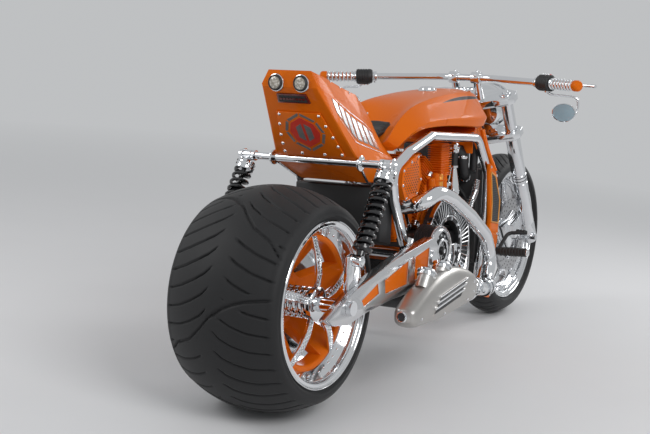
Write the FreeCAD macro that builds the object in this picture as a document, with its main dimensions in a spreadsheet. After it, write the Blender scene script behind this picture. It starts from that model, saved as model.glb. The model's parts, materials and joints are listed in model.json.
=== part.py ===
import FreeCAD, Part
import math
import os
import Sketcher
from FreeCAD import Placement, Rotation, Vector

os.makedirs("parts", exist_ok=True)
doc = FreeCAD.newDocument("Chopper")
sheet = doc.addObject("Spreadsheet::Sheet", "Sizes")

# Driving sizes in millimetres and degrees. X runs forward from the rear axle, Y to the rider's
# left and Z up from the ground, with the machine upright until it is leaned on its stand.
SIZES = {
    "lean_angle": 6, "wheelbase": 1720, "rake_angle": 29, "head_setback": 300,
    # running gear
    "rear_tyre_radius": 335, "rear_tyre_width": 366, "rear_tread_half": 160, "rear_tread_drop": 41,
    "rear_bead_radius": 229, "rear_rim_width": 362, "rear_drop_radius": 200, "rear_dish_depth": 50,
    "rear_hub_radius": 50, "rear_hub_right": 158, "rear_hub_left": 186, "hub_fin_depth": 14,
    "strap_width": 24,
    "front_tyre_radius": 325, "front_tyre_width": 140, "front_tread_half": 52, "front_tread_drop": 22,
    "front_bead_radius": 241, "front_rim_width": 112, "front_drop_radius": 222,
    "front_hub_radius": 38, "front_hub_half": 62,
    "flange_height": 18, "rim_wall": 5, "tyre_wall": 13, "seat_gap": 0.3, "pin_gap": 0.05,
    "axle_radius": 12.5, "spacer_radius": 22, "spoke_count": 5,
    # swingarm, shocks and drive
    "arm_inner": 220, "arm_thick": 34, "pivot_x": 560, "pivot_z": 405, "pivot_radius": 22,
    "shock_y": 247, "shock_top_x": 236, "shock_top_z": 726, "shock_foot_x": 62, "shock_foot_z": 462,
    "shock_radius": 30, "shock_eye": 17, "shock_bar_radius": 12,
    "belt_inner": 190, "belt_width": 22, "belt_thick": 6, "rear_pulley_radius": 105,
    "front_pulley_radius": 56, "front_pulley_x": 652, "front_pulley_z": 402,
    # frame
    "rail_radius": 16, "rail_y": 172, "rail_bend": 60,
    # engine
    "engine_rear": 575, "engine_front": 1010, "engine_low": 200, "engine_high": 455,
    "engine_half": 150, "crank_x": 745, "crank_z": 400, "bank_angle": 32,
    "cylinder_width": 165, "cylinder_depth": 165, "cylinder_foot": 75, "cylinder_top": 335,
    "fin_count": 19, "fin_pitch": 9.6, "fin_thick": 3.4, "fin_depth": 7, "rocker_height": 45,
    "rocker_share": 0.34,
    "clutch_x": 690, "clutch_z": 408, "clutch_radius": 84, "clutch_y": 230,
    "header_radius": 24, "muffler_inner": 262, "muffler_thick": 84,
    # radiator
    "radiator_x": 1125, "radiator_thick": 45, "shroud_thick": 14,
    # fork
    "leg_ahead": 18, "clamp_offset": 40, "leg_y": 132, "leg_radius": 23, "slider_radius": 29,
    "leg_above": 3, "slider_top": 300, "slider_foot": -34, "lower_clamp_low": 466,
    "upper_clamp_low": 622, "clamp_thick": 30, "stem_radius": 16, "head_radius": 30,
    "riser_height": 90, "bar_radius": 12.7, "bar_straight": 105, "bar_half": 507, "bar_sweep": 196,
    "bar_drop": 10, "grip_radius": 18, "grip_length": 128, "riser_y": 45, "riser_radius": 15,
    # body work
    "tail_half": 150, "seat_half": 60,
    "lamp_radius": 19, "lamp_depth": 40, "lamp_x": 92, "lamp_y": 43, "lamp_z": 964, "plate_thick": 5,
    # side stand
    "stand_x": 905, "stand_y": 214, "stand_z": 182, "stand_radius": 12, "stand_foot_y": 296,
}
for row, (alias, number) in enumerate(SIZES.items(), start=1):
    sheet.set("A%d" % row, alias)
    sheet.set("B%d" % row, str(number))
    sheet.setAlias("B%d" % row, alias)
doc.recompute()


class Size:
    """A length from the sheet that keeps the expression it comes from."""

    def __init__(self, number, text):
        self.number = float(number)
        self.text = text

    def __add__(self, other):
        return join(self, "+", other)

    def __radd__(self, other):
        return join(other, "+", self)

    def __sub__(self, other):
        return join(self, "-", other)

    def __rsub__(self, other):
        return join(other, "-", self)

    def __mul__(self, other):
        return join(self, "*", other)

    def __rmul__(self, other):
        return join(other, "*", self)

    def __truediv__(self, other):
        return join(self, "/", other)

    def __neg__(self):
        return join(0, "-", self)

    def __float__(self):
        return self.number


def join(left, sign, right):
    a, b = float(left), float(right)
    if sign == "+":
        number = a + b
    elif sign == "-":
        number = a - b
    elif sign == "*":
        number = a * b
    else:
        number = a / b
    return Size(number, "(%s %s %s)" % (written(left), sign, written(right)))


def written(value):
    return value.text if isinstance(value, Size) else repr(float(value))


class Sheet:
    """The driving sizes by name."""


S = Sheet()
for alias in SIZES:
    setattr(S, alias, Size(sheet.get(alias), "Sizes." + alias))
S.bar_height = S.upper_clamp_low + S.clamp_thick + S.riser_height
S.leg_top = S.upper_clamp_low + S.clamp_thick + S.leg_above
PIVOT_STATION, HEAD_STATION = 560, 1420
stretch = (S.wheelbase - S.head_setback - S.pivot_x) / (HEAD_STATION - PIVOT_STATION)


def at(x):
    """Where a station of the frame lies: all ahead of the swingarm pivot follows the wheelbase."""
    if not isinstance(x, Size) and x <= PIVOT_STATION:
        return x
    return S.pivot_x + (x - PIVOT_STATION) * stretch


def stations(points):
    return [(at(point[0]), *point[1:]) for point in points]


S.engine_front, S.crank_x = at(S.engine_front), at(S.crank_x)
S.radiator_x, S.stand_x = at(S.radiator_x), at(S.stand_x)


def bind(target, prop, value):
    """Sets a property and ties it to the sheet."""
    if isinstance(value, Size):
        target.setExpression(prop, value.text)
    elif not prop.startswith((".", "Constraints")):
        setattr(target, prop, value)


nodes = []


def node(shape_object, label, place=None):
    """Names a finished piece and stands it at its place on the machine."""
    shape_object.Label = label
    if place is not None:
        shape_object.Placement = place
    nodes.append(shape_object)
    return shape_object


def feature(label, shape, place=None):
    piece = doc.addObject("Part::Feature", label.title().replace("_", ""))
    piece.Shape = shape
    return node(piece, label, place)


# Sketched pieces

def new_body(label):
    return doc.addObject("PartDesign::Body", label.title().replace("_", ""))


def on_plane(body, role, offset=0):
    sketch = body.newObject("Sketcher::SketchObject", body.Name + "Sketch")
    plane = next(item for item in body.Origin.OriginFeatures if item.Role == role)
    sketch.AttachmentSupport = (plane, [""])
    sketch.MapMode = "FlatFace"
    if isinstance(offset, Size):
        sketch.setExpression(".AttachmentOffset.Base.z", offset.text)
    else:
        sketch.AttachmentOffset = Placement(Vector(0, 0, offset), Rotation())
    return sketch


def outline(sketch, points):
    """Draws a closed outline. A point is (x, y), or (x, y, r) where an arc of radius r,
    turning left if positive and right if negative, leads on to the next point."""
    first = sketch.GeometryCount
    ends = []
    for index, point in enumerate(points):
        following = points[(index + 1) % len(points)]
        start = Vector(float(point[0]), float(point[1]), 0)
        end = Vector(float(following[0]), float(following[1]), 0)
        if len(point) == 2:
            sketch.addGeometry(Part.LineSegment(start, end))
            ends.append((1, 2))
            continue
        radius = float(point[2])
        chord = end - start
        height = math.sqrt(max(radius * radius - chord.Length ** 2 / 4, 0))
        left = Vector(-chord.y, chord.x, 0).normalize()
        centre = (start + end) * 0.5 + left * math.copysign(height, radius)
        turn = [math.atan2(p.y - centre.y, p.x - centre.x) for p in (start, end)]
        if radius < 0:
            turn.reverse()
        circle = Part.Circle(centre, Vector(0, 0, 1), abs(radius))
        arc = sketch.addGeometry(Part.ArcOfCircle(circle, turn[0], turn[1]))
        ends.append((1, 2) if radius > 0 else (2, 1))
        held = sketch.addConstraint(Sketcher.Constraint("Radius", arc, abs(radius)))
        size = point[2] if radius > 0 else -point[2]
        bind(sketch, "Constraints[%d]" % held, size)
    count = len(points)
    for index in range(count):
        after = (index + 1) % count
        sketch.addConstraint(Sketcher.Constraint(
            "Coincident", first + index, ends[index][1], first + after, ends[after][0]))
    for index, point in enumerate(points):
        for kind, value in (("DistanceX", point[0]), ("DistanceY", point[1])):
            held = sketch.addConstraint(Sketcher.Constraint(
                kind, -1, 1, first + index, ends[index][0], float(value)))
            if isinstance(value, Size):
                sketch.setExpression("Constraints[%d]" % held, value.text)


def ring(sketch, x, y, radius):
    circle = sketch.addGeometry(Part.Circle(Vector(float(x), float(y), 0), Vector(0, 0, 1), float(radius)))
    for kind, value in (("DistanceX", x), ("DistanceY", y)):
        held = sketch.addConstraint(Sketcher.Constraint(kind, -1, 1, circle, 3, float(value)))
        if isinstance(value, Size):
            sketch.setExpression("Constraints[%d]" % held, value.text)
    held = sketch.addConstraint(Sketcher.Constraint("Radius", circle, float(radius)))
    if isinstance(radius, Size):
        sketch.setExpression("Constraints[%d]" % held, radius.text)


def turn_about_y(body, points):
    """Turns an outline of (radius, y) points about the piece's own Y axis."""
    sketch = on_plane(body, "XY_Plane")
    outline(sketch, points)
    turned = body.newObject("PartDesign::Revolution", body.Name + "Turned")
    turned.Profile = sketch
    turned.ReferenceAxis = (sketch, ["V_Axis"])
    turned.Angle = 360
    sketch.Visibility = False
    return turned


def slab(body, points, low, high, holes=()):
    """Pads an (x, z) outline from y = low to y = high."""
    sketch = on_plane(body, "XZ_Plane", -high if isinstance(high, Size) else -float(high))
    outline(sketch, points)
    for hole in holes:
        ring(sketch, *hole)
    pad = body.newObject("PartDesign::Pad", body.Name + "Pad")
    pad.Profile = sketch
    bind(pad, "Length", high - low)
    return pad


def pocket(body, points, low, high):
    """Cuts an (x, z) outline from y = low to y = high."""
    sketch = on_plane(body, "XZ_Plane", -high if isinstance(high, Size) else -float(high))
    outline(sketch, points)
    cut = body.newObject("PartDesign::Pocket", body.Name + "Pocket")
    cut.Profile = sketch
    cut.Reversed = True
    bind(cut, "Length", high - low)
    return cut


def loft(body, sections):
    """Joins (x, outline in y and z) sections, each outline mirrored about the middle plane."""
    sketches = []
    for x, half in sections:
        sketch = on_plane(body, "YZ_Plane", x)
        other = [(-y, z) for y, z in reversed(half)]
        outline(sketch, list(half) + other)
        sketches.append(sketch)
    joined = body.newObject("PartDesign::AdditiveLoft", body.Name + "Loft")
    joined.Profile = sketches[0]
    joined.Sections = sketches[1:]
    joined.Ruled = True
    return joined


# Bent tubes

def bent_path(points, bend):
    """Straight runs joined by tangent arcs of one bend radius."""
    corners = [Vector(*[float(c) for c in point]) for point in points]
    edges = []
    start = corners[0]
    for before, corner, after in zip(corners, corners[1:], corners[2:]):
        back = (before - corner).normalize()
        ahead = (after - corner).normalize()
        half_turn = (math.pi - back.getAngle(ahead)) / 2
        shorter = min((before - corner).Length, (after - corner).Length)
        reach = min(float(bend) * math.tan(half_turn), 0.48 * shorter)
        radius = reach / math.tan(half_turn)
        enter = corner + back * reach
        leave = corner + ahead * reach
        middle_way = (back + ahead).normalize()
        middle = corner + middle_way * (radius / math.cos(half_turn) - radius)
        edges.append(Part.LineSegment(start, enter).toShape())
        edges.append(Part.Arc(enter, middle, leave).toShape())
        start = leave
    edges.append(Part.LineSegment(start, corners[-1]).toShape())
    return Part.Wire(edges)


def tube(points, radius, bend=60):
    path = bent_path(points, bend)
    corners = [Vector(*[float(c) for c in point]) for point in points[:2]]
    section = Part.Wire(Part.makeCircle(float(radius), corners[0], corners[1] - corners[0]))
    return path.makePipeShell([section], True, False)


def rod(start, end, radius):
    start, end = Vector(*[float(c) for c in start]), Vector(*[float(c) for c in end])
    return Part.makeCylinder(float(radius), (end - start).Length, start, end - start)


def block(low, high):
    size = Vector(*high) - Vector(*low)
    return Part.makeBox(size.x, size.y, size.z, Vector(*low))


def prism(points, low, high):
    """An (x, z) outline from y = low to y = high."""
    corners = [Vector(float(x), float(low), float(z)) for x, z in points]
    face = Part.Face(Part.makePolygon(corners + corners[:1]))
    return face.extrude(Vector(0, float(high) - float(low), 0))


SIDES = {"right": -1, "left": 1}


def side_name(side):
    return "right" if side < 0 else "left"


rear_centre = Placement(Vector(0, 0, float(S.rear_tyre_radius)), Rotation())
front_centre = Placement(Vector(float(S.wheelbase), 0, float(S.front_tyre_radius)), Rotation())
# The fork's own frame: Z up along the legs from the front axle, X square to them and forward.
fork_frame = Placement(front_centre.Base, Rotation(Vector(0, 1, 0), -float(S.rake_angle)))


# Wheels

def tyre(label, radius, width, half, drop, bead, rim_width, place):
    body = new_body(label)
    crown = (half * half + drop * drop) / (drop * 2)
    inner_drop = drop * 0.9
    inner_half = half - S.tyre_wall * 0.4
    inner_crown = (inner_half * inner_half + inner_drop * inner_drop) / (inner_drop * 2)
    seat = bead + S.seat_gap
    foot = rim_width / 2 - S.rim_wall - S.seat_gap
    shoulder = radius - drop
    side = shoulder - 26
    inner_shoulder = shoulder - S.tyre_wall
    turn_about_y(body, [
        (seat, -foot), (bead + S.flange_height + 2, -foot), (side, -(width / 2), 30),
        (shoulder, -half, crown), (shoulder, half, 30), (side, width / 2),
        (bead + S.flange_height + 2, foot), (seat, foot), (seat, foot - S.tyre_wall),
        (inner_shoulder - 14, foot - S.tyre_wall), (inner_shoulder, inner_half - 6, -inner_crown),
        (inner_shoulder, 6 - inner_half), (inner_shoulder - 14, S.tyre_wall - foot),
        (seat, S.tyre_wall - foot)])
    return node(body, label, place)


def rim(label, bead, rim_width, drop_radius, depth, place):
    body = new_body(label)
    lip = bead + S.flange_height
    edge = rim_width / 2
    wall = S.rim_wall
    seat = edge - 24
    turn_about_y(body, [
        (bead - wall, -edge), (lip, -edge), (lip, wall - edge), (bead, wall - edge), (bead, -seat),
        (drop_radius + wall, depth - edge), (drop_radius + wall, edge - depth), (bead, seat),
        (bead, edge - wall), (lip, edge - wall), (lip, edge), (bead - wall, edge),
        (bead - wall, seat), (drop_radius, edge - depth), (drop_radius, depth - edge),
        (bead - wall, -seat)])
    return node(body, label, place)


def wheel_centre(label, hub, hub_right, hub_left, rim_inner, rim_y, thick, place, windows):
    """A dished centre with a window between each pair of spokes."""
    body = new_body(label)
    bore = hub + S.seat_gap
    turn_about_y(body, [
        (bore, -hub_right), (hub * 1.45, -hub_right), (rim_inner - 12, -rim_y),
        (rim_inner - S.seat_gap, -rim_y), (rim_inner - S.seat_gap, thick - rim_y),
        (rim_inner - 12, thick - rim_y), (hub * 1.45, hub_left), (bore, hub_left)])
    doc.recompute()
    before = body.Shape.Volume
    inner, outer = windows
    angle = 180 / float(S.spoke_count)
    lean = math.radians(angle * 0.62)
    near = math.radians(angle * 0.42)
    window = [(inner * math.cos(near), -(inner * math.sin(near))),
              (outer * math.cos(lean), -(outer * math.sin(lean)), outer),
              (outer * math.cos(lean), outer * math.sin(lean)),
              (inner * math.cos(near), inner * math.sin(near))]
    cut = pocket(body, window, -400, 400)
    doc.recompute()
    pattern = body.newObject("PartDesign::PolarPattern", body.Name + "Spokes")
    pattern.Originals = [cut]
    axis = next(item for item in body.Origin.OriginFeatures if item.Role == "Y_Axis")
    pattern.Axis = (axis, [""])
    pattern.Angle = 360
    bind(pattern, "Occurrences", S.spoke_count)
    body.Tip = pattern
    doc.recompute()
    if body.Shape.Volume > before * 0.9:
        raise RuntimeError(label + " has no windows")
    return node(body, label, place)


def build_rear_wheel():
    tyre("rear_tyre", S.rear_tyre_radius, S.rear_tyre_width, S.rear_tread_half, S.rear_tread_drop,
         S.rear_bead_radius, S.rear_rim_width, rear_centre)
    rim("rear_rim", S.rear_bead_radius, S.rear_rim_width, S.rear_drop_radius, S.rear_dish_depth,
        rear_centre)
    spin = Placement(rear_centre.Base, Rotation(Vector(0, 1, 0), -90 - 180 / float(S.spoke_count)))
    wheel_centre("rear_wheel_centre", S.rear_hub_radius, 36, 18, S.rear_drop_radius,
                 S.rear_rim_width / 2 - S.rear_dish_depth, 46, spin,
                 (S.rear_hub_radius * 1.75, S.rear_drop_radius - 18))
    hub = new_body("rear_hub")
    bore = S.axle_radius + S.pin_gap
    root = S.rear_hub_radius - S.hub_fin_depth
    profile = [(bore, -S.rear_hub_right), (root, -S.rear_hub_right),
               (S.rear_hub_radius, 5 - S.rear_hub_right), (S.rear_hub_radius, 20 - S.rear_hub_right)]
    for fin in range(5):
        y = 20 + 19 * fin - S.rear_hub_right
        profile += [(root, y), (root, y + 10), (S.rear_hub_radius - 3, y + 10), (S.rear_hub_radius - 3, y + 19)]
    profile += [(S.rear_hub_radius - 3, -40), (S.rear_hub_radius, -40), (S.rear_hub_radius, S.rear_hub_left),
                (bore, S.rear_hub_left)]
    turn_about_y(hub, profile)
    node(hub, "rear_hub", rear_centre)
    pulley = new_body("rear_pulley")
    slab(pulley, [], S.belt_inner - 3, S.belt_inner + S.belt_width,
         [(0, 0, S.rear_pulley_radius), (0, 0, S.spacer_radius + 5)])
    node(pulley, "rear_pulley", rear_centre)
    disc = new_body("rear_disc")
    slab(disc, [], S.rear_rim_width / 2 - 35, S.rear_rim_width / 2 - 30,
         [(0, 0, 125), (0, 0, S.rear_hub_radius + S.seat_gap)])
    node(disc, "rear_disc", rear_centre)
    straps("rear_spoke_straps")


def straps(label):
    """A bowed strap over each spoke, from the hub's collar to the wheel's outer ring."""
    near = float(S.rear_hub_radius + S.seat_gap)
    face = float(S.rear_rim_width / 2 - S.rear_dish_depth + S.seat_gap)
    end = float(S.rear_drop_radius) - 3
    half = float(S.strap_width) / 2
    bow = [(face + 21, near), (face + 26, near + 45), (face + 22, near + 88), (face + 12, end - 26), (face + 5, end),
           (face, end), (face, end - 9), (face + 2, end - 29), (face + 11, near + 84), (face + 15, near + 45),
           (face + 10, near)]
    corners = [Vector(-half, -y, radius) for y, radius in bow]
    strap = Part.Face(Part.makePolygon(corners + corners[:1])).extrude(Vector(2 * half, 0, 0))
    strap = strap.cut(rod((0, -300, 0), (0, 300, 0), near))
    count = int(float(S.spoke_count))
    pieces = []
    for number in range(count):
        copy = strap.copy()
        copy.rotate(Vector(), Vector(0, 1, 0), 360 * number / count)
        pieces.append(copy)
    feature(label, Part.makeCompound(pieces), rear_centre)


def build_front_wheel():
    tyre("front_tyre", S.front_tyre_radius, S.front_tyre_width, S.front_tread_half,
         S.front_tread_drop, S.front_bead_radius, S.front_rim_width, front_centre)
    rim("front_rim", S.front_bead_radius, S.front_rim_width, S.front_drop_radius, 36, front_centre)
    spin = Placement(front_centre.Base, Rotation(Vector(0, 1, 0), -90 - 180 / float(S.spoke_count)))
    wheel_centre("front_wheel_centre", S.front_hub_radius, 18, 18, S.front_drop_radius, 16, 32,
                 spin, (S.front_hub_radius * 1.8, S.front_drop_radius - 18))
    hub = new_body("front_hub")
    bore = S.axle_radius + S.pin_gap
    turn_about_y(hub, [
        (bore, -S.front_hub_half), (S.front_hub_radius, -S.front_hub_half),
        (S.front_hub_radius, S.front_hub_half), (bore, S.front_hub_half)])
    node(hub, "front_hub", front_centre)
    discs = []
    for side in (-1, 1):
        low = float(S.front_hub_half) - 8 if side > 0 else 3 - float(S.front_hub_half)
        plate = rod((0, low, 0), (0, low + 5, 0), 146)
        hub_hole = rod((0, low - 1, 0), (0, low + 6, 0), S.front_hub_radius + S.seat_gap)
        discs.append(plate.cut(hub_hole))
    feature("front_discs", Part.makeCompound(discs), front_centre)


# Swingarm, shocks and drive

def build_swingarm():
    axle_z = S.rear_tyre_radius
    arm = [(-112, 318), (18, 374), (60, 385), (297, 438), (S.pivot_x, S.pivot_z + 66),
           (S.pivot_x + 38, S.pivot_z + 34), (S.pivot_x + 38, S.pivot_z - 48),
           (517, 320), (272, 316), (112, 304), (-7, 286), (-94, 300)]
    windows = [[(92, 324), (78, 344), (178, 380), (186, 348)],
               [(226, 340), (222, 382), (380, 420), (372, 348)],
               [(424, 352), (428, 425), (530, 444), (518, 352)]]
    inlays = []
    for name, side in SIDES.items():
        low = S.arm_inner if side > 0 else -(S.arm_inner + S.arm_thick)
        high = S.arm_inner + S.arm_thick if side > 0 else -S.arm_inner
        body = new_body("swingarm_" + name)
        slab(body, arm, low, high, [(0, axle_z, S.axle_radius + S.seat_gap),
                                    (S.pivot_x, S.pivot_z, S.pivot_radius + S.seat_gap)])
        for window in windows:
            pocket(body, window, low - 1, high + 1)
        node(body, "swingarm_" + name)
        inlays += [prism(shrunk(window, float(S.seat_gap)), float(low) + 4, float(high) - 4)
                   for window in windows]
    feature("swingarm_inlays", Part.makeCompound(inlays))
    cross = block((400, -float(S.arm_inner), 345), (455, float(S.arm_inner), 410))
    feature("swingarm_cross", cross)


def shrunk(points, gap):
    """The same outline with each corner drawn in toward the middle by about the gap."""
    middle = Vector(sum(p[0] for p in points) / len(points), sum(p[1] for p in points) / len(points), 0)
    drawn = []
    for x, z in points:
        away = Vector(x, z, 0) - middle
        away = away * (1 - 1.6 * gap / away.Length)
        drawn.append((middle.x + away.x, middle.y + away.y))
    return drawn


def build_rear_caliper():
    """A caliper over the rear disc, its arm reaching through the belt's loop to the left arm."""
    low, high = float(S.rear_rim_width) / 2 - 35, float(S.rear_rim_width) / 2 - 30
    z = float(S.rear_tyre_radius)
    body = block((66, low - 18, z - 47), (152, high + 21, z + 5))
    slot = rod((0, low - 5, z), (0, high + 5, z), 131)
    arm = block((126, high + 6, z - 33), (152, float(S.arm_inner) - float(S.seat_gap), z - 13))
    feature("rear_caliper", body.cut(slot).fuse(arm).removeSplitter())


def build_rear_axle():
    reach = float(S.arm_inner + S.arm_thick) + 10
    z = float(S.rear_tyre_radius)
    gap = float(S.seat_gap)
    bar = rod((0, -reach, z), (0, reach, z), S.axle_radius)
    right = rod((0, -float(S.arm_inner) + gap, z), (0, -float(S.rear_hub_right) - gap, z), S.spacer_radius)
    left = rod((0, float(S.rear_hub_left) + gap, z), (0, float(S.arm_inner) - gap, z), S.spacer_radius)
    nuts = [rod((0, side * (reach - 10 + gap), z), (0, side * (reach + 6), z), 21) for side in (-1, 1)]
    feature("rear_axle", bar.fuse([right, left] + nuts).removeSplitter())


def build_shocks():
    top = Vector(float(S.shock_top_x), 0, float(S.shock_top_z))
    foot = Vector(float(S.shock_foot_x), 0, float(S.shock_foot_z))
    along = (top - foot).normalize()
    y = float(S.shock_y)
    eye = float(S.shock_eye)
    pair = []
    for side in (-1, 1):
        offset = Vector(0, side * y, 0)
        low = foot + offset + along * (eye - 4)
        high = top + offset - along * (eye - 4)
        coil = ridged(low + along * 22, along, (high - low).Length - 44)
        ends = [rod(low, low + along * 23, 12.5), rod(high - along * 23, high, 12.5)]
        eyes = [rod((spot.x, side * (y - 13), spot.z), (spot.x, side * (y + 13), spot.z), eye)
                for spot in (foot, top)]
        shape = coil.fuse(ends + eyes).removeSplitter()
        bolt = float(S.shock_bar_radius) + float(S.seat_gap)
        for spot in (foot, top):
            shape = shape.cut(rod((spot.x, -400, spot.z), (spot.x, 400, spot.z), bolt))
        pair.append(shape)
    feature("rear_shocks", Part.makeCompound(pair))
    gap = float(S.seat_gap)
    reach = y + 24
    bar = rod((top.x, -reach, top.z), (top.x, reach, top.z), S.shock_bar_radius)
    caps = [rod((top.x, side * (y + 13 + gap), top.z), (top.x, side * (reach + 8), top.z), 20)
            for side in (-1, 1)]
    feature("shock_bar", bar.fuse(caps).removeSplitter())
    carriers = []
    for side in (-1, 1):
        lug = [(30, 377.6), (60, 385.4), (88, 391.7), (94, 440), (86, 470), (62, 482), (42, 474), (32, 440)]
        inner, outer = sorted((side * (float(S.arm_inner) - 4), side * (y - 13 - gap)))
        carrier = prism(lug, inner, outer)
        pin = rod((foot.x, side * (y - 14), foot.z), (foot.x, side * (y + 16), foot.z),
                  float(S.shock_bar_radius))
        carriers.append(carrier.fuse(pin).removeSplitter())
    feature("shock_carriers", Part.makeCompound(carriers))


def ridged(foot, along, length):
    """The spring's coils as ridges, with a plain seat at either end."""
    outer, inner = float(S.shock_radius), float(S.shock_radius) - 9
    turns, seat = 10, 16
    pitch = (length - 2 * seat) / turns
    profile = [(0, 0), (outer, 0), (outer, seat)]
    for turn in range(turns):
        z = seat + pitch * turn
        profile += [(inner, z + pitch * 0.05), (inner, z + pitch * 0.2), (outer, z + pitch * 0.4),
                    (outer, z + pitch * 0.65), (inner, z + pitch * 0.85)]
    profile += [(inner, length - seat), (outer, length - seat), (outer, length), (0, length)]
    corners = [Vector(radius, 0, z) for radius, z in profile]
    face = Part.Face(Part.makePolygon(corners + corners[:1]))
    turned = face.revolve(Vector(), Vector(0, 0, 1), 360)
    turned.Placement = Placement(foot, Rotation(Vector(0, 0, 1), along))
    return turned


def build_drive():
    rear = Vector(0, 0, float(S.rear_tyre_radius))
    front = Vector(float(S.front_pulley_x), 0, float(S.front_pulley_z))
    gap = float(S.seat_gap)
    inner = stadium(rear, float(S.rear_pulley_radius) + gap, front, float(S.front_pulley_radius) + gap)
    thick = float(S.belt_thick)
    outer = stadium(rear, float(S.rear_pulley_radius) + gap + thick, front,
                    float(S.front_pulley_radius) + gap + thick)
    belt = Part.Face(outer).cut(Part.Face(inner))
    belt = belt.extrude(Vector(0, float(S.belt_width) - 1, 0))
    belt.translate(Vector(0, float(S.belt_inner), 0))
    feature("drive_belt", belt)
    body = new_body("front_pulley")
    slab(body, [], S.engine_half + S.seat_gap, S.belt_inner + S.belt_width,
         [(S.front_pulley_x, S.front_pulley_z, S.front_pulley_radius)])
    node(body, "front_pulley")


def stadium(first, first_radius, second, second_radius):
    """The outline of a belt round two pulleys that lie in the XZ plane."""
    across = second - first
    tilt = math.atan2(across.z, across.x)
    swing = math.acos((first_radius - second_radius) / across.Length)

    def spot(centre, radius, angle):
        return centre + Vector(radius * math.cos(angle), 0, radius * math.sin(angle))

    up, down = tilt + swing, tilt - swing
    edges = [Part.LineSegment(spot(first, first_radius, up), spot(second, second_radius, up)).toShape(),
             Part.Arc(spot(second, second_radius, up), spot(second, second_radius, tilt),
                      spot(second, second_radius, down)).toShape(),
             Part.LineSegment(spot(second, second_radius, down), spot(first, first_radius, down)).toShape(),
             Part.Arc(spot(first, first_radius, down), spot(first, first_radius, tilt + math.pi),
                      spot(first, first_radius, up)).toShape()]
    return Part.Wire(edges)


# Frame

def build_frame():
    y = float(S.rail_y)
    pivot = Vector(float(S.pivot_x), 0, float(S.pivot_z))
    route = stations([(505, 452), (430, 596), (408, 690), (525, 744), (690, 786), (1075, 758), (1180, 629),
                      (1176, 480)])
    lower = stations([(1176, 480), (1112, 190), (640, 176), (560, 300)])
    for name, side in SIDES.items():
        upper = tube([(x, side * y, z) for x, z in route], S.rail_radius, S.rail_bend)
        cradle = tube([(x, side * y, z) for x, z in lower], S.rail_radius, S.rail_bend)
        plate = prism([(pivot.x - 62, 440), (pivot.x - 40, 470), (pivot.x + 10, 455), (pivot.x + 14, 300),
                       (pivot.x - 14, 285), (pivot.x - 62, 330)], side * (y - 10), side * (y + 10))
        plate = plate.cut(rod((pivot.x, -400, pivot.z), (pivot.x, 400, pivot.z),
                              float(S.pivot_radius) + float(S.seat_gap)))
        feature("frame_rail_" + name, upper.fuse([cradle, plate]).removeSplitter())
    feature("swingarm_pivot", rod((pivot.x, -259, pivot.z), (pivot.x, 259, pivot.z), S.pivot_radius))


def neck_sections(gap):
    """The neck's outline behind and at the steering head, grown by a gap."""
    return [(at(1085) - gap, [(-150 - gap, 700 - gap), (-150 - gap, 742 + gap)]),
            (at(1405) + gap, [(-34 - gap, 730 - gap), (-34 - gap, 848 + gap)])]


def build_neck():
    """The gusset that carries the steering head ahead of the tank."""
    body = new_body("frame_neck")
    loft(body, neck_sections(0))
    doc.recompute()
    head_axis = float(S.leg_ahead) - float(S.clamp_offset)
    low = float(S.lower_clamp_low + S.clamp_thick) + float(S.seat_gap)
    high = float(S.upper_clamp_low) - float(S.seat_gap)
    head = Part.makeCylinder(float(S.head_radius), high - low, Vector(head_axis, 0, low))
    head.Placement = fork_frame.multiply(head.Placement)
    gusset = body.Shape.copy()
    stem = Part.makeCylinder(float(S.stem_radius) + float(S.pin_gap), 400, Vector(head_axis, 0, low - 50))
    stem.Placement = fork_frame.multiply(stem.Placement)
    rails = [piece.Shape for piece in nodes if piece.Label.startswith("frame_rail")]
    feature("steering_head", gusset.fuse(head).cut(stem).cut(rails[0].fuse(rails[1])).removeSplitter())


# Engine

def finned_barrel(width, depth, foot, top):
    """A square barrel with its fins, and the rocker box on it."""
    fin_depth = float(S.fin_depth)
    rocker = top - float(S.rocker_height)
    x, y = width / 2 - fin_depth, depth / 2 - fin_depth
    shape = block((-x, -y, foot - 30), (x, y, rocker))
    fins = [block((-width / 2, -depth / 2, foot + number * float(S.fin_pitch)),
                  (width / 2, depth / 2, foot + number * float(S.fin_pitch) + float(S.fin_thick)))
            for number in range(int(float(S.fin_count)))]
    share = float(S.rocker_share)
    box = block((-width * 0.39, -depth * share, rocker - 1), (width * 0.39, depth * share, top))
    rim = block((-width * 0.46, -depth * 0.46, rocker - 14), (width * 0.46, depth * 0.46, rocker + 4))
    return shape.fuse(fins + [rim, box]).removeSplitter()


def barrel_place(side):
    return Placement(Vector(float(S.crank_x), 0, float(S.crank_z)),
                     Rotation(Vector(0, 1, 0), side * float(S.bank_angle)))


def header_port(inside=0):
    """Where the exhaust leaves the rear cylinder, or a depth inside it."""
    return (float(S.crank_x) - 197, inside - float(S.cylinder_depth) / 2 - float(S.seat_gap), 562)


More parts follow.
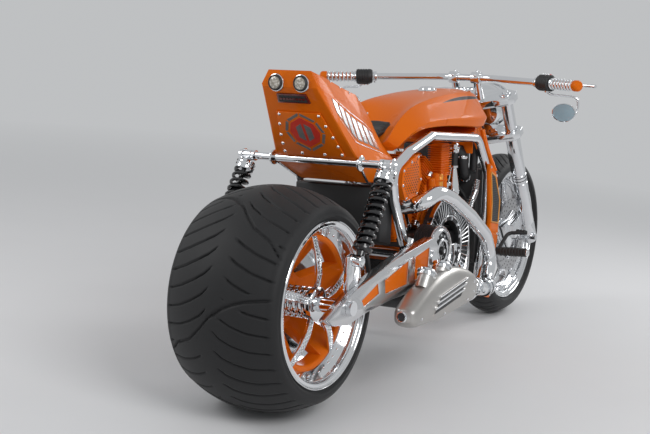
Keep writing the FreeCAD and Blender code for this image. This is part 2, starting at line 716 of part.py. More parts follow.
def build_engine():
    half = S.engine_half
    case = new_body("crankcase")
    slab(case, [(S.engine_rear + 30, S.engine_low + 40), (S.engine_rear + 80, S.engine_low),
                (S.engine_front - 60, S.engine_low), (S.engine_front, S.engine_low + 60),
                (S.engine_front, S.engine_high - 90), (S.engine_front - 50, S.engine_high),
                (S.engine_rear + 60, S.engine_high), (S.engine_rear + 30, S.engine_high - 60)],
         -half, half)
    node(case, "crankcase")
    for name, side in (("rear", -1), ("front", 1)):
        width = float(S.cylinder_width)
        depth = float(S.cylinder_depth)
        foot = float(S.cylinder_foot)
        barrel = finned_barrel(width, depth, foot, float(S.cylinder_top))
        if side < 0:
            port = rod(header_port(float(S.seat_gap)), header_port(12), float(S.header_radius) + 9)
            port.Placement = barrel_place(side).inverse()
            barrel = barrel.fuse(port)
        barrel.Placement = barrel_place(side)
        clear = block((0, -300, 0), (2000, 300, float(S.engine_high) + float(S.seat_gap)))
        middle = block((float(S.crank_x) - 4, -300, 0), (float(S.crank_x) + 4, 300, 1000))
        beyond = block((float(S.crank_x) - 4 if side < 0 else -500, -300, 0),
                       (2500 if side < 0 else float(S.crank_x) + 4, 300, 1000))
        feature("cylinder_" + name, barrel.cut(clear).cut(beyond))
    cover = new_body("cylinder_cover")
    slab(cover, [(449, 640), (454, 692), (514, 718), (566, 734), (590, 652), (562, 604), (478, 592)],
         -(S.rail_y + S.rail_radius), -(S.tail_half + 5))
    stud = on_plane(cover, "XZ_Plane", S.tail_half + 5)
    ring(stud, 545, 650, 14)
    pad = cover.newObject("PartDesign::Pad", "CylinderCoverStud")
    pad.Profile = stud
    pad.Reversed = True
    bind(pad, "Length", S.tail_half + 5 - S.cylinder_depth * S.rocker_share - S.seat_gap)
    node(cover, "cylinder_cover")
    clutch = new_body("clutch_cover")
    r, y, face = S.clutch_radius, -S.clutch_y, -(half + S.seat_gap)
    turn_about_y(clutch, [(0, face), (r, face), (r, y + 18), (r - 4, y + 9), (r - 12, y + 3), (r - 18, y + 1),
                          (r - 21, y + 4), (r - 23, y + 11), (r - 40, y + 8), (r - 43, y + 2), (r - 54, y + 1),
                          (r - 56, y + 6), (r - 70, y + 6), (r - 72, y), (0, y)])
    node(clutch, "clutch_cover", Placement(Vector(float(S.clutch_x), 0, float(S.clutch_z)), Rotation()))
    belt_cover = new_body("belt_cover")
    out = S.belt_inner + S.belt_width
    slab(belt_cover, [(S.front_pulley_x - 30, S.front_pulley_z - 70),
                      (S.front_pulley_x + 70, S.front_pulley_z - 70),
                      (S.front_pulley_x + 110, S.front_pulley_z),
                      (S.front_pulley_x + 70, S.front_pulley_z + 75),
                      (S.front_pulley_x - 30, S.front_pulley_z + 70)],
         out + S.seat_gap, out + 22)
    node(belt_cover, "belt_cover")


def build_exhaust():
    r = S.header_radius
    port = header_port()
    ahead = stations([(840, -254, 514), (985, -254, 428), (1042, -254, 335), (985, -262, 268), (930, -300, 264)])
    end = float(at(868)) + float(S.seat_gap)
    header = tube([port, (port[0], -160, 562), (port[0] - 40, -235, 585), (port[0] + 32, -254, 616),
                   (port[0] + 132, -254, 588)] + ahead + [(end, -300, 264)], r, 90)
    flange = rod(port, (port[0], port[1] - 9, port[2]), float(r) + 7)
    clamps = [rod((end + x, -300, 264), (end + x + 12, -300, 264), float(r) + 7) for x in (4, 26)]
    header = header.fuse([flange] + clamps).removeSplitter()
    feature("exhaust_header", header)
    can = new_body("muffler")
    near = S.muffler_inner
    slab(can, stations([(250, 262), (298, 224), (470, 212), (800, 206), (868, 240), (868, 290), (709, 372),
                        (560, 392), (505, 388), (300, 330), (250, 300)]),
         -(near + S.muffler_thick), -near)
    node(can, "muffler")


# Radiator

def build_radiator():
    x = S.radiator_x
    core = new_body("radiator")
    slab(core, [(x, 300), (x + S.radiator_thick, 300), (x + S.radiator_thick, 640), (x, 640)],
         -(S.rail_y - S.rail_radius - S.seat_gap), S.rail_y - S.rail_radius - S.seat_gap)
    node(core, "radiator")
    shapes = []
    side_plate = stations([(1135, 664), (1192, 629), (1240, 522), (1228, 375), (1190, 298), (1200, 190),
                           (1170, 169), (965, 220), (1080, 262), (1132, 300), (1152, 470), (1128, 634)])
    window = stations([(1152, 632), (1184, 610), (1222, 523), (1214, 452), (1170, 462)])
    for side in (-1, 1):
        face = float(S.rail_y + S.rail_radius + S.seat_gap)
        low, high = sorted((side * face, side * (face + float(S.shroud_thick))))
        recess = sorted((side * (face + float(S.shroud_thick) - 8), side * (face + float(S.shroud_thick) + 1)))
        shapes.append(prism(side_plate, low, high).cut(prism(window, *recess)))
    feature("radiator_shroud", Part.makeCompound(shapes))


# Body work

def build_tank():
    tank = new_body("fuel_tank")
    rows = [(500, 742, 128, 756, 145, 776, 103, 752, 64), (600, 806, 158, 822, 163, 862, 105, 786, 66),
            (720, 812, 162, 835, 166, 893, 104, 884, 50), (930, 808, 160, 835, 166, 913, 101, 920, 50),
            (1160, 786, 152, 825, 160, 920, 96, 930, 45), (1290, 790, 108, 820, 122, 903, 76, 917, 38),
            (1335, 812, 70, 822, 82, 842, 58, 846, 30)]
    sections = []
    for x, low, low_half, wide, wide_half, crease, crease_half, top, top_half in rows:
        sections.append((at(x), [(-low_half, low), (-wide_half, wide), (-crease_half, crease), (-top_half, top)]))
    loft(tank, sections)
    tunnel = new_body("tank_tunnel")
    loft(tunnel, neck_sections(float(S.seat_gap)))
    carved = doc.addObject("Part::Cut", "FuelTankCarved")
    carved.Base, carved.Tool = tank, tunnel
    node(carved, "fuel_tank")


TAIL_BACK = ((66, 951), (250, 711))


def build_tail():
    tail = new_body("tail_shell")
    rows = [(66, (91, 951), (93, 953), (95, 959), (72, 1001), (62, 1001)),
            (159, (118, 831), (122, 835), (101, 922), (70, 978), (62, 978)),
            (250, (146, 711), (150, 716), (100, 885), (70, 950), (62, 949)),
            (345, (121, 655), (151, 705), (100, 846), (70, 925), (62, 887)),
            (434, (118, 656), (152, 700), (100, 795), (70, 860), (62, 822)),
            (482, (120, 690), (153, 705), (100, 761), (70, 806), (62, 768))]
    loft(tail, [(x, [(-y, z) for y, z in half]) for x, *half in rows])
    holes = []
    reach = 2 * S.tail_half
    spots = [(S.shock_top_x, -S.tail_half, S.shock_top_z, S.shock_bar_radius + S.seat_gap, (-1, 0, 0))]
    for side in (-1, 1):
        spots.append((0, S.lamp_y * side, S.lamp_z, S.lamp_radius + S.seat_gap, (0, 1, 0)))
    for x, y, z, radius, axis in spots:
        hole = doc.addObject("Part::Cylinder", "TailHole")
        hole.Placement = Placement(Vector(float(x), float(y), float(z)), Rotation(Vector(*axis), 90))
        bind(hole, "Radius", radius)
        bind(hole, "Height", reach if axis[0] else S.lamp_x)
        holes.append(hole)
    tools = doc.addObject("Part::MultiFuse", "TailHoles")
    tools.Shapes = holes
    carved = doc.addObject("Part::Cut", "TailCarved")
    carved.Base, carved.Tool = tail, tools
    node(carved, "tail_cowl")


def build_lamps():
    """Two round lamps and a flat one on the back face of the tail."""
    top, foot = [Vector(x, 0, z) for x, z in TAIL_BACK]
    down = (foot - top).normalize()
    out = Vector(down.z, 0, -down.x)
    lamps = []
    inner = float(S.lamp_x) - float(S.seat_gap)
    for side in (-1, 1):
        y = side * float(S.lamp_y)
        lamps.append(rod((inner, y, S.lamp_z), (inner - float(S.lamp_depth), y, S.lamp_z), S.lamp_radius))
    flat = [top + down * reach + out * float(S.seat_gap) + Vector(0, y, 0)
            for reach, y in ((22, -50), (22, 50), (56, 56), (56, -56))]
    lamps.append(Part.Face(Part.makePolygon(flat + flat[:1])).extrude(out * float(S.plate_thick)))
    feature("tail_lamps", Part.makeCompound(lamps))
    plate_low = top + down * 92 + out * float(S.seat_gap)
    plate_high = top + down * 260 + out * float(S.seat_gap)
    corners = [plate_low + Vector(0, -76, 0), plate_low + Vector(0, 76, 0),
               plate_high + Vector(0, 108, 0), plate_high + Vector(0, -108, 0)]
    face = Part.Face(Part.makePolygon(corners + corners[:1]))
    feature("tail_plate", face.extrude(out * float(S.plate_thick)))


def build_seat():
    seat = new_body("seat_pad")
    slab(seat, stations([(352, 884.5), (434, 822.5), (482, 768.5), (486, 752.5), (500, 752.5), (600, 786.5),
                         (660, 830), (640, 838), (596, 812), (510, 792), (484, 806), (434, 858), (352, 920)]),
         -S.seat_half, S.seat_half)
    node(seat, "seat_pad")


def build_side_panel():
    box = new_body("battery_box")
    slab(box, [(372, 470), (450, 450), (455, 560), (425, 640), (372, 640)],
         -(S.rail_y - S.rail_radius - S.seat_gap), S.rail_y - S.rail_radius - S.seat_gap)
    node(box, "battery_box")


# Fork

def fork_piece(label, shape):
    return feature(label, shape, fork_frame)


def build_fork():
    leg_x = float(S.leg_ahead)
    head_x = leg_x - float(S.clamp_offset)
    gap = float(S.seat_gap)
    y = float(S.leg_y)
    slider_top, leg_top = float(S.slider_top), float(S.leg_top)
    for name, side in SIDES.items():
        slider = Part.makeCylinder(float(S.slider_radius), slider_top - float(S.slider_foot),
                                   Vector(leg_x, side * y, float(S.slider_foot)))
        upper = Part.makeCylinder(float(S.leg_radius), leg_top - slider_top, Vector(leg_x, side * y, slider_top))
        leg = slider.fuse(upper).cut(rod((0, -300, 0), (0, 300, 0), float(S.axle_radius) + gap))
        fork_piece("fork_leg_" + name, leg.removeSplitter())
    for label, low in (("lower_clamp", S.lower_clamp_low), ("upper_clamp", S.upper_clamp_low)):
        low = float(low)
        thick = float(S.clamp_thick)
        plan = [(head_x - 34, -46), (leg_x - 34, -y - 22), (leg_x - 10, -y - 38), (leg_x + 24, -y - 38),
                (leg_x + 36, -y), (head_x + 62, 0), (leg_x + 36, y), (leg_x + 24, y + 38),
                (leg_x - 10, y + 38), (leg_x - 34, y + 22), (head_x - 34, 46)]
        corners = [Vector(px, py, low) for px, py in plan]
        clamp = Part.Face(Part.makePolygon(corners + corners[:1])).extrude(Vector(0, 0, thick))
        for side in (-1, 1):
            clamp = clamp.cut(Part.makeCylinder(float(S.leg_radius) + gap, 900, Vector(leg_x, side * y, 0)))
        if label == "lower_clamp":
            stem_high = float(S.upper_clamp_low + S.clamp_thick) + 8
            clamp = clamp.fuse(Part.makeCylinder(float(S.stem_radius), stem_high - low, Vector(head_x, 0, low)))
        else:
            clamp = clamp.cut(Part.makeCylinder(float(S.stem_radius) + gap, 900, Vector(head_x, 0, 0)))
            clamp = clamp.fuse(riser_shapes(head_x))
        fork_piece(label, clamp.removeSplitter())
    reach = y + float(S.slider_radius) + 8
    axle = rod((0, -reach, 0), (0, reach, 0), S.axle_radius)
    inside = y - float(S.slider_radius) - gap
    spacers = [rod((0, side * (float(S.front_hub_half) + gap), 0), (0, side * inside, 0), 20)
               for side in (-1, 1)]
    spacers = [s.cut(fork_leg_hull()) for s in spacers]
    fork_piece("front_axle", axle.fuse(spacers).removeSplitter())


def fork_leg_hull():
    y = float(S.leg_y)
    legs = [Part.makeCylinder(float(S.slider_radius) + float(S.seat_gap), 200,
                              Vector(float(S.leg_ahead), side * y, -100)) for side in (-1, 1)]
    return legs[0].fuse(legs[1])


def build_calipers():
    calipers = []
    for side in (-1, 1):
        y = side * (float(S.front_hub_half) - 5.5)
        outer = side * (float(S.leg_y) - float(S.slider_radius) + 6)
        low, high = sorted((y - side * 18, outer))
        body = block((-140, low, 40), (-86, high, 140))
        slot = block((-200, y - 5.5, 0), (200, y + 5.5, 200))
        slot = slot.common(Part.makeCylinder(152, 100, Vector(0, -50 + y, 0), Vector(0, 1, 0)))
        arm_low, arm_high = sorted((side * (float(S.leg_y) - 26), side * (float(S.leg_y) - 4)))
        arm = block((-100, arm_low, 60), (10, arm_high, 120))
        caliper = body.fuse(arm).cut(slot).cut(fork_leg_full(side))
        calipers.append(caliper.removeSplitter())
    fork_piece("front_calipers", Part.makeCompound(calipers))


def fork_leg_full(side):
    return Part.makeCylinder(float(S.slider_radius) + float(S.seat_gap), 900,
                             Vector(float(S.leg_ahead), side * float(S.leg_y), -200))


def bar_points():
    """Half of the handlebar's line, from its middle to its left end, upright and square to the road."""
    level = Placement(Vector(), fork_frame.Rotation)
    head_x = float(S.leg_ahead) - float(S.clamp_offset)
    middle = level.multVec(Vector(head_x, 0, float(S.bar_height)))
    straight = middle + Vector(0, float(S.bar_straight), 0)
    end = middle + Vector(-float(S.bar_sweep), float(S.bar_half), -float(S.bar_drop))
    return [middle, straight, end]


def build_handlebar():
    middle, straight, end = bar_points()
    gap = float(S.seat_gap)
    flip = [Vector(p.x, -p.y, p.z) for p in (end, straight)]
    upright = Placement(front_centre.Base, Rotation())
    bar = tube(flip + [straight, end], S.bar_radius, 120)
    feature("handlebar", bar, upright)
    way = (end - straight).normalize()
    grips, housings, levers = [], [], []
    length = float(S.grip_length)
    for side in (-1, 1):
        tip = Vector(end.x, side * end.y, end.z)
        along = Vector(way.x, side * way.y, way.z)
        outer = tip + along * 12
        inner = tip - along * length
        bore = Part.makeCylinder(float(S.bar_radius) + gap, length + 200, inner - along * 100, along)
        stop = Part.makeCylinder(float(S.bar_radius) + 20, 30, tip + along * gap, along)
        grip = Part.makeCylinder(float(S.grip_radius), length + 12, inner, along)
        grips.append(grip.cut(bore.cut(stop)))
        housing = Part.makeCylinder(26, 52, inner - along * (52 + gap), along)
        housings.append(housing.cut(bore))
        ahead = Vector(way.y, -side * way.x, 0).normalize()
        pivot = inner - along * 26 + ahead * 40
        perch = rod(inner - along * 26 + ahead * 25, pivot, 11)
        lever = tube([pivot, pivot + along * 40 + ahead * 22, pivot + along * 175 + ahead * 26], 6, 30)
        levers.append(perch.fuse(lever).removeSplitter())
    feature("grips", Part.makeCompound(grips), upright)
    feature("switch_housings", Part.makeCompound(housings), upright)
    feature("levers", Part.makeCompound([lv.cut(hs) for lv, hs in zip(levers, housings)]), upright)
    mirrors = []
    for side in (-1, 1):
        tip = Vector(end.x, side * end.y, end.z)
        along = Vector(way.x, side * way.y, way.z)
        start = tip - along * 150 + Vector(0, 0, -24)
        glass = start + Vector(20, side * 60, -78)
        stalk = tube([start + Vector(0, 0, -3), start + Vector(4, side * 6, -34), glass + Vector(14, 0, 0)], 5, 20)
        dish = Part.makeCylinder(40, 12, glass + Vector(10, 0, 0), Vector(-1, 0, 0))
        mirrors.append(stalk.fuse(dish).removeSplitter())
    feature("mirrors", Part.makeCompound(mirrors), upright)


def riser_shapes(head_x):
    base = float(S.upper_clamp_low + S.clamp_thick)
    gap = float(S.seat_gap)
    risers = []
    for side in (-1, 1):
        riser = Part.makeCylinder(float(S.riser_radius), float(S.bar_height) - base + 8,
                                  Vector(head_x, side * float(S.riser_y), base))
        clamp = rod((head_x, side * (float(S.riser_y) - 17), float(S.bar_height)),
                    (head_x, side * (float(S.riser_y) + 17), float(S.bar_height)), 22)
        bore = rod((head_x, -300, float(S.bar_height)), (head_x, 300, float(S.bar_height)),
                   float(S.bar_radius) + gap)
        risers.append(riser.fuse(clamp).cut(bore).removeSplitter())
    return risers


def build_headlight():
    leg_x = float(S.leg_ahead)
    level = fork_frame.Rotation.inverted().multVec(Vector(1, 0, 0))
    shell = Part.makeCylinder(82, 96, Vector(leg_x + 64, 0, 560), level)
    dome = Part.makeSphere(82, Vector(leg_x + 64, 0, 560))
    arm = block((leg_x + 30, -16, 468), (leg_x + 60, 16, 494))
    shape = shell.fuse(dome)
    shape = shape.cut(block((-400, -300, 400), (leg_x + 26, 300, 800)))
    fork_piece("headlight", shape.fuse(arm).removeSplitter())


# Side stand, in line with its pivot

def build_stand():
    pivot = Vector(float(S.stand_x), float(S.stand_y), float(S.stand_z))
    lean = math.radians(float(S.lean_angle))
    foot_y = float(S.stand_foot_y)
    # the leaned machine's ground in the upright frame
    ground = foot_y * math.tan(lean) + float(crown_lift()) / math.cos(lean) * -1
    ankle = Vector(pivot.x + 30, foot_y - 12, ground + 12)
    leg = tube([pivot, pivot + Vector(10, 30, -60), ankle], S.stand_radius, 60)
    normal = Vector(0, -math.sin(lean), math.cos(lean))
    pad = Part.makeCylinder(30, 10, Vector(pivot.x + 30, foot_y, ground), normal)
    boss = rod((pivot.x, pivot.y - 14, pivot.z), (pivot.x, pivot.y + 14, pivot.z), 20)
    bolt = rod((pivot.x, -400, pivot.z), (pivot.x, 400, pivot.z), 8 + float(S.pin_gap))
    feature("side_stand", leg.fuse([pad, boss]).cut(bolt).removeSplitter())
    face = pivot.y - 14 - float(S.seat_gap)
    hanger = block((pivot.x - 40, face - 12, pivot.z - 26), (pivot.x + 40, face, pivot.z + 22))
    pin = rod((pivot.x, face - 6, pivot.z), (pivot.x, pivot.y + 20, pivot.z), 8)
    rail = next(piece.Shape for piece in nodes if piece.Label == "frame_rail_left")
    feature("stand_hanger", hanger.fuse(pin).cut(rail).removeSplitter())


def crown_lift():
    half, drop = float(S.rear_tread_half), float(S.rear_tread_drop)
    crown = (half * half + drop * drop) / (drop * 2)
    return crown * (1 - math.cos(math.radians(float(S.lean_angle))))


def build_pegs():
    pair = []
    for side in (-1, 1):
        y = float(S.rail_y) + float(S.rail_radius)
        peg_x = float(at(1252))
        peg = rod((peg_x, side * (y - 16), 330), (peg_x, side * (y + 120), 336), 14)
        arm = prism([(float(at(1176)) - 32, 306), (peg_x + 10, 312), (peg_x + 14, 346),
                     (float(at(1176)) - 26, 346)], *sorted((side * (y - 25), side * (y - 10))))
        pedal = tube([(peg_x, side * (y + 8), 334), (peg_x + 64, side * (y + 20), 392),
                      (peg_x + 78, side * (y + 90), 398)], 7, 25)
        rail = next(piece.Shape for piece in nodes if piece.Label == "frame_rail_" + side_name(side))
        pair.append(arm.fuse([peg, pedal]).cut(rail).removeSplitter())
    feature("foot_controls", Part.makeCompound(pair))


def stood_on_its_stand():
    """The whole machine leaned to the left, moved so that its box's foot is centred on the origin."""
    lean = float(S.lean_angle)
    tip = Rotation(Vector(1, 0, 0), -lean)
    length_shift = -(float(S.wheelbase) + float(S.front_tyre_radius) - float(S.rear_tyre_radius)) / 2
    bar_top = 968
    side_shift = -bar_top * math.sin(math.radians(lean)) * 0.97
    return Placement(Vector(length_shift, side_shift, crown_lift()), tip)


build_rear_wheel()
build_front_wheel()
build_swingarm()
build_rear_axle()
build_rear_caliper()
build_shocks()
build_drive()
build_frame()
build_neck()
build_engine()
build_exhaust()
build_radiator()
build_tank()
build_tail()
build_lamps()
build_seat()
build_side_panel()
build_fork()
build_calipers()
build_handlebar()
build_headlight()
build_stand()
build_pegs()
doc.recompute()

for item in doc.Objects:
    if "Invalid" in item.State or "Error" in item.State:
        raise RuntimeError("%s did not build: %s" % (item.Label, item.State))
leaned = stood_on_its_stand()
for piece in nodes:
    shape = piece.Shape.copy()
    if shape.isNull() or not shape.isValid():
        raise RuntimeError(piece.Label + " has no valid shape")
    shape.Placement = leaned.multiply(shape.Placement)
    shape.exportStep("parts/%s.step" % piece.Label)
    print("%-26s %d solid  %9.1f cm3" % (piece.Label, len(shape.Solids), shape.Volume / 1000))
print(len(nodes), "pieces")
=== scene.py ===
import bmesh
import bpy
import json
import math
from mathutils import Matrix, Vector


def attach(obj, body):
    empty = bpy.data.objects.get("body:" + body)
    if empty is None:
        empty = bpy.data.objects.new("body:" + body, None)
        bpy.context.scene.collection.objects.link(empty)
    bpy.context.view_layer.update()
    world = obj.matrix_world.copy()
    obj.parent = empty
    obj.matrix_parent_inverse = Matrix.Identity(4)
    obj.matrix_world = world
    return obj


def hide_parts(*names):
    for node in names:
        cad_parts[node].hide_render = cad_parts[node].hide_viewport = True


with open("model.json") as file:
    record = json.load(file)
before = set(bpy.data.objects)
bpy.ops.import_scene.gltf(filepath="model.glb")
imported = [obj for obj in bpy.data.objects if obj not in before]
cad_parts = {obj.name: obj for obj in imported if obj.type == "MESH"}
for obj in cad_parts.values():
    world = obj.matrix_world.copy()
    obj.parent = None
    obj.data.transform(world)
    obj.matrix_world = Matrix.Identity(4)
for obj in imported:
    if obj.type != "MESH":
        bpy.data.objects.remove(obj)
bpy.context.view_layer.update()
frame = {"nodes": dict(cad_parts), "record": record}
print("frame loaded:", len(frame["nodes"]), "nodes")

mm = 0.001
at = Matrix.Translation


def turned(degrees, axis):
    return Matrix.Rotation(math.radians(degrees), 4, axis)


def around(count, axis="Y", start=0.0):
    # turns evenly spaced round an axis
    return [Matrix.Rotation(math.tau * (number + start) / count, 4, axis) for number in range(count)]


def turnOf(place):
    return place.to_3x3().to_4x4()


# every piece is modelled upright in millimetres, x forward from the rear axle, and stood up leaning by this
stand = {"lean": 6, "forward": -855, "across": -98.15, "up": 1.82}
standing = (Matrix.Scale(mm, 4) @ at((stand["forward"], stand["across"], stand["up"]))
            @ turned(-stand["lean"], "X"))
axles = {"rear": (0, 0, 335), "front": (1720, 0, 325), "rake": -29}
rearAxle = at(axles["rear"])
frontAxle = at(axles["front"])
forkLine = frontAxle @ turned(axles["rake"], "Y")  # z up along the legs


# shader maths

def feed(tree, place, item):
    # a socket takes a link from a value, or a plain number or colour
    if isinstance(item, Value):
        tree.links.new(item.socket, place)
    else:
        place.default_value = item


class Value:
    def __init__(self, tree, socket):
        self.tree = tree
        self.socket = socket

    def math(self, operation, *others, flip=False):
        node = self.tree.nodes.new("ShaderNodeMath")
        node.operation = operation
        items = (self,) + others
        for place, item in zip(node.inputs, items[::-1] if flip else items):
            feed(self.tree, place, item)
        return Value(self.tree, node.outputs[0])

    def __add__(self, other):
        return self.math("ADD", other)

    def __sub__(self, other):
        return self.math("SUBTRACT", other)

    def __rsub__(self, other):
        return self.math("SUBTRACT", other, flip=True)

    def __mul__(self, other):
        return self.math("MULTIPLY", other)

    def __truediv__(self, other):
        return self.math("DIVIDE", other)

    __radd__ = __add__
    __rmul__ = __mul__

    def clamped(self):
        return self.math("MAXIMUM", 0.0).math("MINIMUM", 1.0)


class Paint:
    # a material, its shader and the ways of adding nodes to it
    def __init__(self, name, colour, roughness, metallic=0.0, **settings):
        self.material = bpy.data.materials.new(name)
        self.material.use_nodes = True
        self.tree = self.material.node_tree
        self.shader = self.tree.nodes["Principled BSDF"]
        self.material.diffuse_color = (*colour, 1)
        self.set("Base Color", (*colour, 1))
        self.set("Roughness", roughness)
        self.set("Metallic", metallic)
        for name, value in settings.items():
            self.set(name.replace("_", " "), value)

    def set(self, socket, value):
        feed(self.tree, self.shader.inputs[socket], value)

    def add(self, kind, settings=None, output=0, **inputs):
        node = self.tree.nodes.new(kind)
        for name, value in (settings or {}).items():
            setattr(node, name, value)
        for name, value in inputs.items():
            feed(self.tree, node.inputs[name.replace("_", " ")], value)
        return Value(self.tree, node.outputs[output])

    def where(self):
        return self.add("ShaderNodeTexCoord", output="Object")

    def axis(self, letter):
        return self.add("ShaderNodeSeparateXYZ", output=letter, Vector=self.where())

    def noise(self, scale, detail=3.0, roughness=0.5, point=None):
        return self.add("ShaderNodeTexNoise", output="Fac", Vector=point or self.where(), Scale=scale,
                        Detail=detail, Roughness=roughness)

    def brushed(self, scale, detail):
        # noise drawn out into lines
        drawn = self.add("ShaderNodeMapping", output="Vector", Vector=self.where(), Scale=scale)
        return self.noise(1, detail, 0.6, drawn)

    def cells(self, scale):
        return self.add("ShaderNodeTexVoronoi", {"feature": "F1"}, output="Distance", Vector=self.where(),
                        Scale=scale)

    def weave(self, scale):
        return self.add("ShaderNodeTexWave", {"bands_direction": "X"}, output="Fac", Vector=self.where(),
                        Scale=scale)

    def between(self, factor, first, second):
        node = self.tree.nodes.new("ShaderNodeMix")
        node.data_type = "RGBA"
        for place, item in ((node.inputs["Factor"], factor), (node.inputs[6], first),
                            (node.inputs[7], second)):
            feed(self.tree, place, (*item, 1) if isinstance(item, tuple) else item)
        return Value(self.tree, node.outputs[2])

    def bump(self, height, strength, distance=0.001):
        self.set("Normal", self.add("ShaderNodeBump", output="Normal", Height=height, Strength=strength,
                                    Distance=distance))


orange = {"flat": (0.80, 0.155, 0.008), "deep": (0.68, 0.112, 0.003), "light": (0.80, 0.165, 0.005),
          "fleck": (0.95, 0.27, 0.02), "flecks": 900, "share": 0.2, "coat": 0.17}
# a plain thin dark stripe under the tank's crease, in metres: its middle, how it bends and how it narrows
stripe = {"x": 1.10, "z": 0.897, "bend": 0.224, "width": 0.0048, "taper": 0.12, "edge": 0.0012,
          "sharp": 2500, "dark": (0.020, 0.019, 0.020), "rim": (0.16, 0.15, 0.15)}


def orangePaint(name="orangePaint", striped=False):
    paint = Paint(name, orange["flat"], 0.28, Coat_Weight=orange["coat"], Coat_Roughness=0.05,
                  Specular_IOR_Level=0.05)
    cloud = paint.noise(6, 2)
    tone = paint.between(cloud, orange["deep"], orange["light"])
    colour = paint.between((paint.cells(orange["flecks"]) * orange["share"]).clamped(), tone,
                           orange["fleck"])
    if striped:
        lean = math.radians(stand["lean"])
        x = paint.axis("X") - stand["forward"] * mm - stripe["x"]
        height = ((paint.axis("Y") - stand["across"] * mm) * math.sin(lean)
                  + (paint.axis("Z") - stand["up"] * mm) * math.cos(lean))
        off = (height - (stripe["z"] - x * x * stripe["bend"])).math("ABSOLUTE")
        width = stripe["width"] - x * x * stripe["taper"]
        for room, shade in ((width + stripe["edge"], stripe["rim"]), (width, stripe["dark"])):
            colour = paint.between(((room - off) * stripe["sharp"]).clamped(), colour, shade)
    paint.set("Base Color", colour)
    paint.set("Roughness", 0.22 + cloud * 0.14)
    paint.bump(paint.noise(420, 2), 0.04, 0.0006)
    return paint.material


def wornFinish(name, colour, roughness, metallic=0.0, haze=None, grain=None, gloss=(0.3, 0, 0), tones=None,
               relief=None, **settings):
    # haze tints the colour between two tones, haze and grain roughen it, and the grain stands up a little
    paint = Paint(name, colour, roughness, metallic, **settings)
    patterns = {"noise": paint.noise, "brushed": paint.brushed, "cells": paint.cells, "weave": paint.weave}
    rough = gloss[0]
    for pattern, share in ((grain, gloss[2]), (haze, gloss[1])):
        if pattern:
            kind, *sizes = pattern
            field = patterns[kind](*sizes)
            rough = rough + field * share
            if tones and (pattern is haze or not haze):
                strength = field if haze else (field * 1.6).clamped()
                paint.set("Base Color", paint.between(strength, *tones))
            if relief and pattern is grain:
                paint.bump(field, *relief)
    paint.set("Roughness", rough)
    return paint.material


def badgePaint(name, first, second, roughness=0.3, metallic=0.0):
    return wornFinish(name, first, roughness, metallic, ("noise", 40, 3), None, (roughness * 0.8, 0.12, 0),
                      (first, second), Coat_Weight=0.5)


